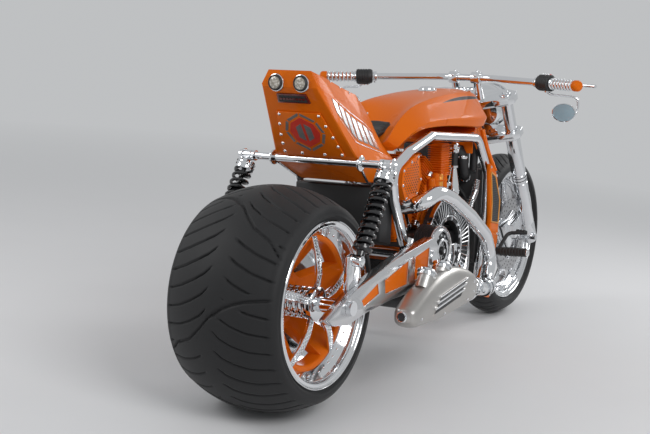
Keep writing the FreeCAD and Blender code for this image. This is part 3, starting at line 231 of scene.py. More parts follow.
# each with its patterns of haze and grain, how far they roughen it, its two tones and the grain's relief
finish = {
    "orange_paint": orangePaint(),
    "tank_paint": orangePaint("stripedPaint", True),
    "chrome": wornFinish("chromePlate", (0.80, 0.81, 0.83), 0.06, 1.0, ("noise", 14, 4, 0.6), None,
                         (0.03, 0.09, 0), ((0.74, 0.755, 0.78), (0.84, 0.85, 0.86))),
    "polished_alloy": wornFinish("polishedAlloy", (0.72, 0.72, 0.74), 0.16, 1.0, ("noise", 9, 3),
                                 ("brushed", (40, 40, 900), 3), (0.10, 0.06, 0.10),
                                 ((0.64, 0.645, 0.66), (0.76, 0.76, 0.77)), (0.06, 0.0004)),
    "satin_alloy": wornFinish("satinAlloy", (0.50, 0.48, 0.46), 0.34, 1.0, ("noise", 7, 4),
                              ("brushed", (25, 500, 500), 4), (0.24, 0.10, 0.12),
                              ((0.43, 0.41, 0.39), (0.58, 0.57, 0.55)), (0.12, 0.0004)),
    "black_engine": wornFinish("blackEngine", (0.018, 0.018, 0.019), 0.42, 0.0, None, ("noise", 260, 3),
                               (0.34, 0, 0.2), None, (0.25, 0.0006)),
    "black_coils": wornFinish("blackGloss", (0.008, 0.008, 0.009), 0.18, 0.0, ("noise", 60, 3), None,
                              (0.14, 0.12, 0), Coat_Weight=0.6, Coat_Roughness=0.08),
    "tyre_rubber": wornFinish("tyreRubber", (0.012, 0.012, 0.013), 0.66, 0.0, ("noise", 11, 5, 0.6),
                              ("noise", 350, 3), (0.48, 0.18, 0.08),
                              ((0.008, 0.008, 0.009), (0.019, 0.019, 0.020)), (0.2, 0.0005),
                              Sheen_Weight=0.06, Sheen_Roughness=0.5, Specular_IOR_Level=0.35),
    "belt_rubber": wornFinish("beltRubber", (0.02, 0.02, 0.02), 0.6, 0.0, None, ("weave", 220),
                              (0.5, 0, 0.2), None, (0.4, 0.0006)),
    "black_plastic": wornFinish("blackPlastic", (0.022, 0.022, 0.023), 0.48, 0.0, None, ("noise", 500, 2),
                                (0.42, 0, 0.16), None, (0.15, 0.0004)),
    "seat_leather": wornFinish("seatLeather", (0.020, 0.019, 0.018), 0.45, 0.0, ("noise", 12, 4),
                               ("cells", 330), (0.36, 0.16, 0.1),
                               ((0.014, 0.013, 0.013), (0.032, 0.030, 0.028)), (0.35, 0.0008)),
    "lamp_lens": wornFinish("lampGlass", (0.62, 0.58, 0.50), 0.08, 0.0, None, ("cells", 150), (0.06, 0, 0.1),
                            ((0.80, 0.77, 0.70), (0.30, 0.27, 0.22)), (0.5, 0.0015), Coat_Weight=1.0,
                            Coat_Roughness=0.03),
    "brake_steel": wornFinish("brakeSteel", (0.46, 0.46, 0.47), 0.3, 1.0, None,
                              ("brushed", (300, 20, 300), 2), (0.22, 0, 0.2), None, (0.15, 0.0004)),
    # a painted sky reflection: bluish glass colour standing for a pale sky, softened so that it doesn't copy
    # the machine
    "mirror_glass": wornFinish("paintedSkyGlass", (0.30, 0.46, 0.54), 0.3, 0.35, ("noise", 14, 3), None,
                               (0.24, 0.12, 0), ((0.22, 0.37, 0.45), (0.42, 0.58, 0.66)), Coat_Weight=0.4,
                               Coat_Roughness=0.02),
    "badge_red": badgePaint("badgeRed", (0.62, 0.030, 0.018), (0.74, 0.050, 0.024)),
    "badge_grey": badgePaint("badgeGrey", (0.13, 0.12, 0.12), (0.22, 0.21, 0.20)),
    "tail_red": badgePaint("tailRed", (0.10, 0.012, 0.010), (0.16, 0.018, 0.014), 0.12),
    "vent_brass": badgePaint("ventBrass", (0.76, 0.30, 0.035), (0.86, 0.38, 0.06), 0.32, 0.6),
    "vent_metal": badgePaint("ventMetal", (0.10, 0.10, 0.10), (0.16, 0.16, 0.16), 0.4, 1.0),
}
slotOf = {part["node"]: part["material_slot"] for part in frame["record"]["subparts"]}
for name, node in frame["nodes"].items():
    for place in node.material_slots:
        place.material = finish[slotOf[name]]
print("finishes made:", len(finish))


# studio

studio = {"floorDull": (0.79, 0.79, 0.80), "floorBright": (0.81, 0.81, 0.82),
          "backColour": (0.52, 0.53, 0.54), "skyStrength": 0.70, "near": 1.7, "melt": 3.6}


def seenIn(tree):
    # the rays that see the backdrop at its full strength: the camera's, and those of metal and glass
    rays = tree.nodes.new("ShaderNodeLightPath")
    seen = Value(tree, rays.outputs["Is Camera Ray"])
    for kind in ("Is Glossy Ray", "Is Transmission Ray"):
        seen = seen.math("MAXIMUM", Value(tree, rays.outputs[kind]))
    return seen


def buildStudio():
    floor = bmesh.new()
    bmesh.ops.create_grid(floor, x_segments=1, y_segments=1, size=30)
    mesh = bpy.data.meshes.new("floor")
    floor.to_mesh(mesh)
    floor.free()
    ground = bpy.data.objects.new("floor", mesh)
    bpy.context.scene.collection.objects.link(ground)
    ground.location.z = -0.0005
    surface = Paint("floorSurface", studio["floorDull"], 0.7)
    surface.set("Base Color", surface.between(surface.noise(3), studio["floorDull"], studio["floorBright"]))
    # far from the machine the floor melts into the backdrop
    across, along = surface.axis("X"), surface.axis("Y")
    far = (((across * across + along * along).math("SQRT") - studio["near"]) / studio["melt"]).clamped()
    glow = surface.add("ShaderNodeEmission", output="Emission", Color=(*studio["backColour"], 1),
                       Strength=1.0)
    mixer = surface.tree.nodes.new("ShaderNodeMixShader")
    feed(surface.tree, mixer.inputs["Fac"], far * seenIn(surface.tree))
    surface.tree.links.new(surface.shader.outputs["BSDF"], mixer.inputs[1])
    feed(surface.tree, mixer.inputs[2], glow)
    surface.tree.links.new(mixer.outputs["Shader"], surface.tree.nodes["Material Output"].inputs["Surface"])
    mesh.materials.append(surface.material)
    world = bpy.data.worlds.new("studioWorld")
    bpy.context.scene.world = world
    world.use_nodes = True
    back = world.node_tree.nodes["Background"]
    back.inputs["Color"].default_value = (*studio["backColour"], 1)
    level = seenIn(world.node_tree) * (1 - studio["skyStrength"]) + studio["skyStrength"]
    feed(world.node_tree, back.inputs["Strength"], level)


def addLamp(name, place, target, size, watts):
    lamp = bpy.data.lights.new(name, "AREA")
    lamp.shape = "RECTANGLE"
    lamp.size, lamp.size_y = size
    lamp.energy = watts
    holder = bpy.data.objects.new(name, lamp)
    holder.location = place
    holder.rotation_euler = (Vector(target) - Vector(place)).to_track_quat("-Z", "Y").to_euler()
    bpy.context.scene.collection.objects.link(holder)


# the photograph's view, carried with the leaning machine
view = {"place": (-3154.8, -1965.9, 1089.0), "right": (0.49769, -0.86704, 0.02320),
        "above": (0.10662, 0.08770, 0.99042), "away": (0.86078, 0.49045, -0.13609), "lens": 71.15}


def buildCamera():
    lens = bpy.data.cameras.new("photoCamera")
    lens.lens = view["lens"]
    lens.sensor_width = 36
    lens.clip_end = 200
    camera = bpy.data.objects.new("photoCamera", lens)
    bpy.context.scene.collection.objects.link(camera)
    turn = Matrix((view["right"], view["above"], tuple(-c for c in view["away"]))).transposed().to_4x4()
    upright = at(view["place"]) @ turn
    place, spin, _ = (standing @ upright).decompose()
    camera.location = place
    camera.rotation_mode = "QUATERNION"
    camera.rotation_quaternion = spin
    bpy.context.scene.camera = camera


# each with its place, what it points at, its size and its watts
lamps = {"keyLamp": ((-2.2, -3.4, 3.2), (0, 0, 0.5), (2.4, 1.6), 84),
         "rimLamp": ((-2.5, 2.6, 2.6), (-0.3, 0, 0.6), (1.6, 1.6), 38),
         "frontLamp": ((2.8, -1.2, 2.2), (0.3, 0, 0.6), (1.6, 1.2), 30)}

buildStudio()
buildCamera()
for name, settings in lamps.items():
    addLamp(name, *settings)
bpy.context.scene.view_settings.view_transform = "Standard"
print("studio and camera set")


# ways of shaping

def soften(part, width, segments=2, angle=35):
    sharp = math.radians(angle)
    edges = [edge for edge in part.edges if edge.is_manifold and edge.calc_face_angle(0) > sharp]
    bmesh.ops.bevel(part, geom=edges, offset=width, offset_type="OFFSET", affect="EDGES", segments=segments,
                    profile=0.5, material=-1, clamp_overlap=True)


def aligned(start, end):
    start, end = Vector(start), Vector(end)
    turn = (end - start).to_track_quat("Z", "Y").to_matrix().to_4x4()
    return at((start + end) / 2) @ turn, (end - start).length


def joined(part, piece, paint=None, place=None, rounding=0, segments=2, angle=50):
    # a small shape rounded, painted, set in its place and joined to the part
    if rounding:
        soften(piece, rounding, segments, angle)
    if place:
        bmesh.ops.transform(piece, matrix=place, verts=piece.verts)
    if paint is not None:
        for face in piece.faces:
            face.material_index = paint
    mesh = bpy.data.meshes.new("piece")
    piece.to_mesh(mesh)
    part.from_mesh(mesh)
    bpy.data.meshes.remove(mesh)
    piece.free()


def addCopies(part, piece, places):
    # the same shape at each of the places
    mesh = bpy.data.meshes.new("piece")
    piece.to_mesh(mesh)
    piece.free()
    for place in places:
        copy = mesh.copy()
        copy.transform(place)
        part.from_mesh(copy)
        bpy.data.meshes.remove(copy)
    bpy.data.meshes.remove(mesh)


def addRod(part, start, end, radius, sides=28, paint=0, rounding=0, segments=2):
    piece = bmesh.new()
    place, length = aligned(start, end)
    bmesh.ops.create_cone(piece, cap_ends=True, segments=sides, radius1=radius, radius2=radius, depth=length)
    joined(part, piece, paint, place, rounding, segments)


def addBlock(part, centre, size, turn=None, paint=0, rounding=0, segments=2):
    piece = bmesh.new()
    bmesh.ops.create_cube(piece, size=1, matrix=Matrix.Diagonal((*size, 1)))
    joined(part, piece, paint, at(centre) @ (turn or Matrix()), rounding, segments)


def addDome(part, place, radius, height, paint=0, rings=3, sides=10):
    piece = bmesh.new()
    bmesh.ops.create_uvsphere(piece, u_segments=sides, v_segments=rings * 2, radius=1,
                              matrix=Matrix.Diagonal((radius, radius, height, 1)))
    joined(part, piece, paint, place)


def addTurned(part, profile, steps=96, paint=0, place=None):
    # a closed profile of (radius, y) turned about the y axis
    piece = bmesh.new()
    made = [piece.verts.new((radius, y, 0)) for radius, y in profile]
    edges = [piece.edges.new((made[i], made[(i + 1) % len(made)])) for i in range(len(made))]
    bmesh.ops.spin(piece, geom=made + edges, cent=(0, 0, 0), axis=(0, 1, 0), dvec=(0, 0, 0), angle=math.tau,
                   steps=steps, use_merge=True, use_duplicate=False)
    joined(part, piece, paint, place)


def addSlab(part, outline, low, high, paint=0, rounding=0, segments=2, place=None, angle=35):
    # an (x, z) outline from y = low to y = high
    piece = bmesh.new()
    face = piece.faces.new([piece.verts.new((x, low, z)) for x, z in outline])
    grown = bmesh.ops.extrude_face_region(piece, geom=[face], use_keep_orig=True)
    moved = [item for item in grown["geom"] if isinstance(item, bmesh.types.BMVert)]
    bmesh.ops.translate(piece, vec=(0, high - low, 0), verts=moved)
    joined(part, piece, paint, place, rounding, segments, angle)


def addLoft(part, rings, paint=0):
    # rings of as many points each, joined one to the next and closed at both ends
    piece = bmesh.new()
    loops = []
    for ring in rings:
        made = [piece.verts.new(point) for point in ring]
        if len(loops) in (0, len(rings) - 1):
            piece.faces.new(made)
        loops.append(made)
    for near, far in zip(loops, loops[1:]):
        for i in range(len(near)):
            after = (i + 1) % len(near)
            piece.faces.new((near[i], near[after], far[after], far[i]))
    bmesh.ops.recalc_face_normals(piece, faces=piece.faces)
    joined(part, piece, paint)


def addPipe(part, points, radius, paint=0, sides=3, steps=6):
    # a round tube along one smooth line
    line = bpy.data.curves.new("line", "CURVE")
    line.dimensions = "3D"
    line.bevel_depth = radius
    line.bevel_resolution = sides
    line.use_fill_caps = True
    line.resolution_u = steps
    spline = line.splines.new("NURBS")
    spline.points.add(len(points) - 1)
    for spot, point in zip(spline.points, points):
        spot.co = (*point, 1)
    spline.order_u = 3
    spline.use_endpoint_u = True
    holder = bpy.data.objects.new("line", line)
    mesh = bpy.data.meshes.new_from_object(holder)
    piece = bmesh.new()
    piece.from_mesh(mesh)
    bpy.data.objects.remove(holder)
    bpy.data.curves.remove(line)
    bpy.data.meshes.remove(mesh)
    bmesh.ops.remove_doubles(piece, verts=piece.verts, dist=0.01)
    joined(part, piece, paint)


def addBolt(part, spot, out, size=6, paint=0, height=None):
    # a hexagon head with a washer, its foot at the spot
    spot, out = Vector(spot), Vector(out).normalized()
    height = height or size * 0.8
    addRod(part, spot - out * 0.5, spot + out * size * 0.25, size * 1.25, sides=16, paint=paint)
    addRod(part, spot, spot + out * height, size, sides=6, paint=paint, rounding=size * 0.12, segments=1)


def finishPiece(name, part, finishes, body, nodes=(), place=None, smooth=35, stood=True):
    if stood:
        bmesh.ops.transform(part, matrix=standing @ (place or Matrix()), verts=part.verts)
        bmesh.ops.recalc_face_normals(part, faces=part.faces)
    mesh = bpy.data.meshes.new(name)
    part.to_mesh(mesh)
    part.free()
    for item in finishes:
        mesh.materials.append(finish[item])
    mesh.shade_smooth()
    mesh.set_sharp_from_angle(angle=math.radians(smooth))
    piece = bpy.data.objects.new(name, mesh)
    bpy.context.scene.collection.objects.link(piece)
    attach(piece, body)
    if nodes:
        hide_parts(*nodes)
    return piece


def softened(node, width, angle=22):
    # the node's own shape with its edges rounded
    part = bmesh.new()
    part.from_mesh(frame["nodes"][node].data)
    bmesh.ops.remove_doubles(part, verts=part.verts, dist=0.00002)
    bmesh.ops.dissolve_limit(part, angle_limit=math.radians(0.6), verts=part.verts, edges=part.edges)
    soften(part, width * mm, 2, angle)
    return part


def softenedPart(node, width, angle=22):
    # the same in the upright millimetres that the other shapes are built in
    part = softened(node, width, angle)
    bmesh.ops.transform(part, matrix=standing.inverted(), verts=part.verts)
    return part


# tyres

rearTread = {
    "radius": 335, "crown": 332.7, "edge": 160, "rows": 34, "shoulder": (264.8, 153.2, 30, 13, 84),
    "wall": ((262, 183.0), (260, 184.4), (256.5, 184.0), (255, 180.4), (249, 175.7), (230, 175.4),
             (230, 163), (280, 150)),
    "skin": 283, "columns": 792, "groups": 6, "perGroup": 6, "groove": 6.5, "longGroove": 8.5, "depth": 7,
    "near": 8, "far": 36, "end": 172, "gap": 20,
    "lean": ((0, 0), (10, 0), (32, 22), (67, 42), (110, 60), (169, 74)),
    "cross": ((-170, -150), (-130, -103), (-73, -75), (-32, -36), (0, 0), (40, 28), (71, 43), (102, 54),
              (170, 67)),
}
frontTread = {
    "radius": 325, "crown": 72.5, "edge": 52, "rows": 14, "shoulder": (275.5, 40, 30, 23.6, 87),
    "wall": ((272, 70.6), (269, 70.2), (267, 65), (261, 50.7), (242, 50.4), (242, 40), (286, 40)),
    "skin": 288, "columns": 504, "groups": 6, "perGroup": 8, "groove": 5, "longGroove": 6, "depth": 5,
    "near": 6, "far": 14, "end": 62, "gap": 12,
    "lean": ((0, 0), (6, 0), (20, 16), (40, 34), (80, 60)),
    "cross": ((-70, -70), (-30, -36), (0, 0), (30, 26), (70, 44)),
}


def read(table, value):
    # straight lines between the rows of a table
    if value <= table[0][0]:
        return table[0][1]
    for (x0, y0), (x1, y1) in zip(table, table[1:]):
        if value <= x1:
            return y0 + (y1 - y0) * (value - x0) / (x1 - x0)
    return table[-1][1]


def cut(off, width):
    return max(0.0, min(1.0, (width / 2 + 1.3 - off) / 2.6))


def grooveDepth(tread, around, across):
    # around runs upward at the back of the tyre, across from its middle to the right
    reach = abs(across)
    if reach > tread["end"]:
        return 0.0
    group = math.tau * tread["radius"] / tread["groups"]
    number = math.floor(around / group)
    lines = {turn: turn * group + read(tread["cross"], across if turn % 2 == 0 else -across)
             for turn in range(number - 1, number + 3)}
    turn = next(turn for turn, line in lines.items() if line > around)
    room = min(lines[turn] - around, around - lines[turn - 1])
    deepest = cut(room, tread["longGroove"])
    longSide = across > 0 if turn % 2 == 0 else across < 0
    start = tread["near"] if longSide else tread["far"]
    if reach > start and room > tread["gap"]:
        spacing = group / tread["perGroup"]
        offset = (around + read(tread["lean"], reach) + 0.62 * spacing) % spacing
        fade = min(1.0, (reach - start) / 10, (room - tread["gap"]) / 8)
        deepest = max(deepest, fade * cut(min(offset, spacing - offset), tread["groove"]))
    return deepest * min(1.0, (tread["end"] - reach) / 12)


def makeTyre(name, tread, node, body, place):
    top = tread["radius"] - tread["crown"]
    half = [(top + math.sqrt(tread["crown"] ** 2 - y * y), y)
            for y in (tread["edge"] * i / tread["rows"] for i in range(tread["rows"] + 1))]
    height, across, bend, first, last = tread["shoulder"]
    for i in range(1, 9):
        angle = math.radians(first + (last - first) * i / 8)
        half.append((height + bend * math.cos(angle), across + bend * math.sin(angle)))
    half += tread["wall"]
    part = bmesh.new()
    addTurned(part, half[::-1] + [(r, -y) for r, y in half[1:]], tread["columns"])
    for vert in part.verts:
        x, y, z = vert.co
        radius = math.hypot(x, z)
        angle = math.atan2(z, -x) - read(tread["lean"], abs(y)) / tread["radius"]
        if radius > tread["skin"]:
            inward = Vector((radius - top, y)).normalized() * tread["depth"]
            pressed = inward * grooveDepth(tread, angle % math.tau * tread["radius"], -y)
            radius -= pressed.x
            y -= pressed.y
        vert.co = (-radius * math.cos(angle), y, radius * math.sin(angle))
    return finishPiece(name, part, ["tyre_rubber"], body, [node], place, 70)


makeTyre("rearTyreTread", rearTread, "rear_tyre", "rear_wheel", rearAxle)
makeTyre("frontTyreTread", frontTread, "front_tyre", "front_wheel", frontAxle)
print("tyres made")


# wheels

hubShape = {"root": 36, "outer": -158, "inner": -40, "fins": 5, "left": 186, "bore": 12.55}
strapShape = {
    "count": 5, "width": 24, "studs": 12, "rows": (-7, 0, 7),
    "rear": ((152.3, 50.6), (157.3, 95.3), (153.3, 138.3), (143.3, 171), (136.3, 197), (131.4, 197),
             (131.4, 188), (133.3, 168), (142.3, 134.3), (146.3, 95.3), (141.3, 50.6)),
    "front": ((25, 58), (29, 90), (29, 170), (23, 213), (17.6, 213), (18.4, 170), (19, 90), (19, 58)),
}


def makeRim(name, node, body, place, bead, edge, drop, depth):
    # a lip, a cove beside it and two fine ridges on the way down to the barrel
    part = bmesh.new()
    lip = bead + 18
    half = [(lip, 5), (lip, 1.6), (lip - 1.4, 0), (lip - 4, 0), (lip - 5.2, 0.8), (lip - 6.2, 2.4),
            (lip - 9, 3.5), (lip - 12, 4), (bead + 2, 4.3), (bead - 0.6, 5.2), (bead - 2.6, 7.4),
            (bead - 4, 10.4), (bead - 4.8, 13), (bead - 6.2, 13.6), (bead - 6.6, 15), (bead - 6.2, 16.4),
            (bead - 5, 17), (bead - 5, 19), (bead - 6.2, 19.6), (bead - 6.6, 21), (bead - 6.2, 22.4),
            (bead - 5, 23), (bead - 5, 25), (bead - 7, 27), (drop + 2, depth - 2.4), (drop, depth)]
    back = [(drop + 5, depth), (bead, 24), (bead, 5)]
    inner = [(radius, y - edge) for radius, y in half] + [(radius, edge - y) for radius, y in reversed(half)]
    outer = [(radius, edge - y) for radius, y in reversed(back)] + [(radius, y - edge) for radius, y in back]
    addTurned(part, inner + outer, 144)
    finishPiece(name, part, ["chrome"], body, [node], place, 25)


def makeRearHub():
    part = bmesh.new()
    outer, root = hubShape["outer"], hubShape["root"]
    profile = [(hubShape["bore"], outer), (root, outer), (48, outer + 3), (50, outer + 5), (50, outer + 18),
               (49, outer + 20), (root, outer + 20)]
    for fin in range(hubShape["fins"]):
        y = outer + 30 + 19 * fin
        for start in (y, y + 5.2):
            profile += [(root, start), (46, start + 0.4), (47, start + 1.2), (47, start + 2.6),
                        (46, start + 3.4), (root, start + 3.8)]
    profile += [(49.5, hubShape["inner"] + 1), (49.5, hubShape["left"]),
                (hubShape["bore"], hubShape["left"])]
    addTurned(part, profile, 72)
    finishPiece("rearHubFins", part, ["chrome"], "rear_wheel", ["rear_hub"], rearAxle)


def makeStraps(name, outline, body, place, sides, nodes):
    part = bmesh.new()
    half = strapShape["width"] / 2
    outer = outline[:len(outline) // 2]
    one = bmesh.new()
    lay = turned(-90, "Z")
    addSlab(one, outline, -half, half, 0, 1.6, 2, lay, 30)
    for stud in range(strapShape["studs"]):
        for row, offset in enumerate(strapShape["rows"]):
            along = (stud + 0.6 + 0.5 * (row % 2)) / (strapShape["studs"] + 0.6) * (len(outer) - 1)
            low = int(along)
            (x0, z0), (x1, z1) = outer[low], outer[low + 1]
            spot = Vector((x0 + (x1 - x0) * (along - low), offset, z0 + (z1 - z0) * (along - low)))
            addDome(one, lay @ at(spot) @ turned(90, "Y"), 3.1, 2.6, 0, 2, 8)
    addCopies(part, one, [Matrix.Diagonal((1, side, 1, 1)) @ spin
                          for side in sides for spin in around(strapShape["count"])])
    finishPiece(name, part, ["chrome"], body, nodes, place, 40)


def makeRivets(name, count, radius, y, tilt, body, place):
    part = bmesh.new()
    one = bmesh.new()
    addDome(one, Matrix(), 4.2, 3.4, 0, 2, 8)
    addCopies(part, one, [spin @ at((0, y * side, radius)) @ turned(tilt * side, "X")
                          for side in (1, -1) for spin in around(count, "Y", 0.5)])
    finishPiece(name, part, ["chrome"], body, (), place, 60)


brakeDisc = {"radius": 146, "inner": 100, "faces": ((-59, -54), (54, 59)), "rings": (138, 126, 113),
             "holes": 24, "setOn": 9, "hole": 3.5}


def makeDiscs(name, node, body, place):
    # ground discs with rings of drilled holes, each hole a dark plug of painted shade, each ring set on by
    # some degrees
    part = bmesh.new()
    inner, radius = brakeDisc["inner"], brakeDisc["radius"]
    for low, high in brakeDisc["faces"]:
        addTurned(part, [(inner, low), (radius, low), (radius, high), (inner, high)], 96, 0)
        for row, ring in enumerate(brakeDisc["rings"]):
            for spin in around(brakeDisc["holes"], "Y", row * brakeDisc["setOn"] * brakeDisc["holes"] / 360):
                for face in (low, high):
                    near = spin @ Vector((ring, face - 0.3, 0))
                    far = spin @ Vector((ring, face + 0.3, 0))
                    addRod(part, near, far, brakeDisc["hole"], sides=10, paint=1)
    finishPiece(name, part, ["brake_steel", "black_plastic"], body, [node], place, 40)


makeRim("rearRimRidged", "rear_rim", "rear_wheel", rearAxle, 229, 181, 200, 50)
makeRim("frontRimRidged", "front_rim", "front_wheel", frontAxle, 241, 56, 222, 36)
makeRearHub()
makeStraps("rearStuddedArms", strapShape["rear"], "rear_wheel", rearAxle, (1,), ["rear_spoke_straps"])
makeStraps("frontStuddedArms", strapShape["front"], "front_wheel", frontAxle, (1, -1), [])
makeRivets("rearRimRivets", 45, 211, -143, 45, "rear_wheel", rearAxle)
makeRivets("frontRimRivets", 40, 228, -29, 40, "front_wheel", frontAxle)
makeDiscs("frontDrilledDiscs", "front_discs", "front_wheel", frontAxle)
for node, body, paint in (("rear_wheel_centre", "rear_wheel", "orange_paint"),
                          ("front_wheel_centre", "front_wheel", "polished_alloy")):
    finishPiece(node.title().replace("_", "") + "Dished", softened(node, 2.2, 30), [paint], body, [node],
                smooth=30, stood=False)
print("wheels dressed")


# swingarm, shocks and their bar

shock = {"top": (236, 726), "foot": (62, 462), "y": 247, "coil": 25, "wire": 5.3, "turns": 9.5,
         "coilLow": 44, "coilHigh": 262,
         "eye": ((12.4, -13), (15.5, -13), (17, -11.5), (17, 11.5), (15.5, 13), (12.4, 13)),
         "body": ((0.01, -15), (12, -15), (13, -30), (26, -33), (30, -36), (30, -42), (27, -44), (19, -45),
                  (19, -205), (17, -208), (8, -209), (8, -262), (0.01, -262)),
         "cap": ((8, -258), (29, -259), (30.5, -262), (30.5, -268), (28, -270), (29, -272), (29, -279),
                 (26, -281), (29, -283), (29, -290), (20, -293), (13, -300), (8, -302))}
crossBar = {"radius": 12, "over": 13, "flangeAt": 150,
            "end": ((11, 0.4), (20, 0.4), (21, 2), (21, 6), (17, 8), (17, 16), (13, 21), (0.01, 23)),
            "collar": ((12, -2), (16, -2), (17.5, -4), (17.5, -12), (16, -14), (12, -14)),
            "flange": ((12, 0), (23, 0), (24, 1.5), (24, 6), (18, 9), (12, 9))}


def addCoil(part, radius, wire, low, high, turns, paint, place):
    piece = bmesh.new()
    made = bmesh.ops.create_circle(piece, cap_ends=False, segments=8, radius=wire,
                                   matrix=at((radius, 0, low)) @ turned(90, "X"))
    edges = list({edge for vert in made["verts"] for edge in vert.link_edges})
    steps = int(turns * 22)
    bmesh.ops.spin(piece, geom=made["verts"] + edges, cent=(0, 0, 0), axis=(0, 0, 1),
                   dvec=(0, 0, (high - low) / steps), angle=math.tau * turns, steps=steps, use_merge=False,
                   use_duplicate=False)
    joined(part, piece, paint, place)


def makeShocks():
    part = bmesh.new()
    foot = Vector((shock["foot"][0], 0, shock["foot"][1]))
    top = Vector((shock["top"][0], 0, shock["top"][1]))
    length = (top - foot).length
    turn = Matrix.Rotation(math.atan2(top.x - foot.x, top.z - foot.z), 4, "Y")
    for side in (-1, 1):
        stood = at(foot + Vector((0, side * shock["y"], 0))) @ turn
        for z in (0, length):
            addTurned(part, shock["eye"], 32, 1, stood @ at((0, 0, z)))
        lay = stood @ turned(-90, "X")
        addTurned(part, shock["body"], 40, 0, lay)
        addTurned(part, shock["cap"], 40, 1, lay)
        for spin in around(8, "Z"):
            for z in (275.5, 286.5):
                addBlock(part, stood @ spin @ Vector((29, 0, z)), (3.4, 6, 5), turnOf(stood) @ spin, 0)
        addCoil(part, shock["coil"], shock["wire"], shock["coilLow"], shock["coilHigh"], shock["turns"], 0,
                stood)
    finishPiece("shockCoils", part, ["black_coils", "chrome"], "frame", ["rear_shocks"], None, 40)


def makeShockBar():
    part = bmesh.new()
    x, z = shock["top"]
    reach = shock["y"] + crossBar["over"]
    addRod(part, (x, -reach - 4, z), (x, reach + 4, z), crossBar["radius"], sides=40)
    for side in (-1, 1):
        for name, start in (("end", reach), ("collar", shock["y"] - crossBar["over"]),
                            ("flange", crossBar["flangeAt"])):
            profile = [(radius, side * (start + y)) for radius, y in crossBar[name]]
            addTurned(part, profile, 40, 0, at((x, 0, z)))
    finishPiece("shockCrossBar", part, ["chrome"], "frame", ["shock_bar"])


makeShocks()
makeShockBar()
for node, width in (("swingarm_right", 3), ("swingarm_left", 3), ("shock_carriers", 2.2)):
    slot = slotOf[node]
    finishPiece(node.title().replace("_", "") + "Rounded", softened(node, width), [slot], "frame", [node],
                smooth=30, stood=False)
print("swingarm and shocks dressed")


# engine

bank = {"root": (745, 0, 400), "tilt": 32, "length": 335, "half": 82.5, "firstFin": 74, "fin": 3.4,
        "pitch": 9.6, "fins": 19}


def bankTurn(side):
    return turned(bank["tilt"] * side, "Y")


def makeCylinder(name, node, side):
    part = bmesh.new()
    turn = bankTurn(side)
    place = at(bank["root"]) @ turn
    body = bmesh.new()
    for fin in range(bank["fins"]):
        z = bank["firstFin"] + fin * bank["pitch"]
        reach = bank["half"] + (5 if fin % 5 else 2)
        # the two banks' fins stop at the plane between them
        inner = min(reach, z * math.tan(math.radians(bank["tilt"])) - 3)
        low, high = (-inner, reach) if side > 0 else (-reach, inner)
        addBlock(body, ((low + high) / 2, 0, z), (high - low, 2 * reach, bank["fin"]), None, 2, 1.1, 1)
    addCopies(part, body, [place])
    low = bank["length"] - 78
    for y in (-1, 1):
        for x in (-46, 46):
            addRod(part, place @ Vector((x, y * 62, low - 12)), place @ Vector((x, y * 62, low + 44)), 9,
                   sides=20, rounding=1.5)
            addBolt(part, place @ Vector((x, y * 62, low + 44)), place.to_3x3() @ Vector((0, 0, 1)), 8, 1)
    addBlock(part, place @ Vector((0, 0, low + 18)), (150, 150, 30), turn, 2 if side > 0 else 0, 6)
    addBlock(part, place @ Vector((0, 0, low + 52)), (128, 112, 50), turn, 1, 14, 3)
    for rib in range(6 if side > 0 else 0):
        addBlock(part, place @ Vector((0, 0, low + 4 + rib * 9)), (164, 164, 3.4), turn, 2, 1.1, 1)
    for y in (-36, -12, 12, 36):
        addBlock(part, place @ Vector((0, y, low + 77)), (96, 6, 5), turn, 1, 2)
    for y in (-88, 88):
        for x in (-16, 16):
            start = place @ Vector((x, y * 0.92, 70))
            end = place @ Vector((x, y * 0.92, low + 22))
            addRod(part, start, end, 10.5, sides=24, paint=2 if side > 0 else 1)
            for spot in (0.05, 0.5, 0.95):
                middle = start.lerp(end, spot)
                along = (end - start).normalized() * 9
                addRod(part, middle - along, middle + along, 13.5, sides=24, paint=1, rounding=1.5)
    finishPiece(name, part, ["black_engine", "chrome", "orange_paint"], "frame", [node])


# the case's side plates and the bright caps on them, in layers outwards
caseLayers = (
    {"y": (150, 162), "paint": 0, "rounding": (4, 2), "bolt": 6,
     "outline": ((618, 214), (998, 214), (1000, 300), (960, 442), (800, 450), (640, 440), (616, 330)),
     "bolts": ((630, 226), (700, 214), (790, 214), (880, 222), (960, 232), (990, 300), (990, 380),
               (630, 300))},
    {"y": (162, 176), "paint": 1, "rounding": (5, 3), "bolt": 5,
     "outline": ((826, 250), (960, 250), (984, 310), (944, 402), (842, 402), (812, 330)),
     "bolts": ((838, 262), (952, 262), (968, 312), (934, 390), (852, 390), (826, 330))},
)


def makeCrankcase():
    part = softenedPart("crankcase", 10)
    for side in (-1, 1):
        for layer in caseLayers:
            low, high = layer["y"]
            addSlab(part, layer["outline"], side * low, side * high, layer["paint"], *layer["rounding"])
            for x, z in layer["bolts"]:
                addBolt(part, (x, side * high, z), (0, side, 0), layer["bolt"], 1)
    finishPiece("crankcaseRibs", part, ["black_engine", "chrome"], "frame", ["crankcase"])


sideCover = {
    "face": -188, "rows": 16, "columns": 10, "first": (458, 598), "pitch": (15, 8), "hole": 2.5,
    "middle": (520, 660),
    "drilled": ((462, 644), (466, 686), (520, 708), (560, 720), (578, 652), (556, 612), (484, 600)),
    "rim": ((449, 640), (454, 692), (514, 718), (566, 734), (590, 652), (562, 604), (478, 592)),
}


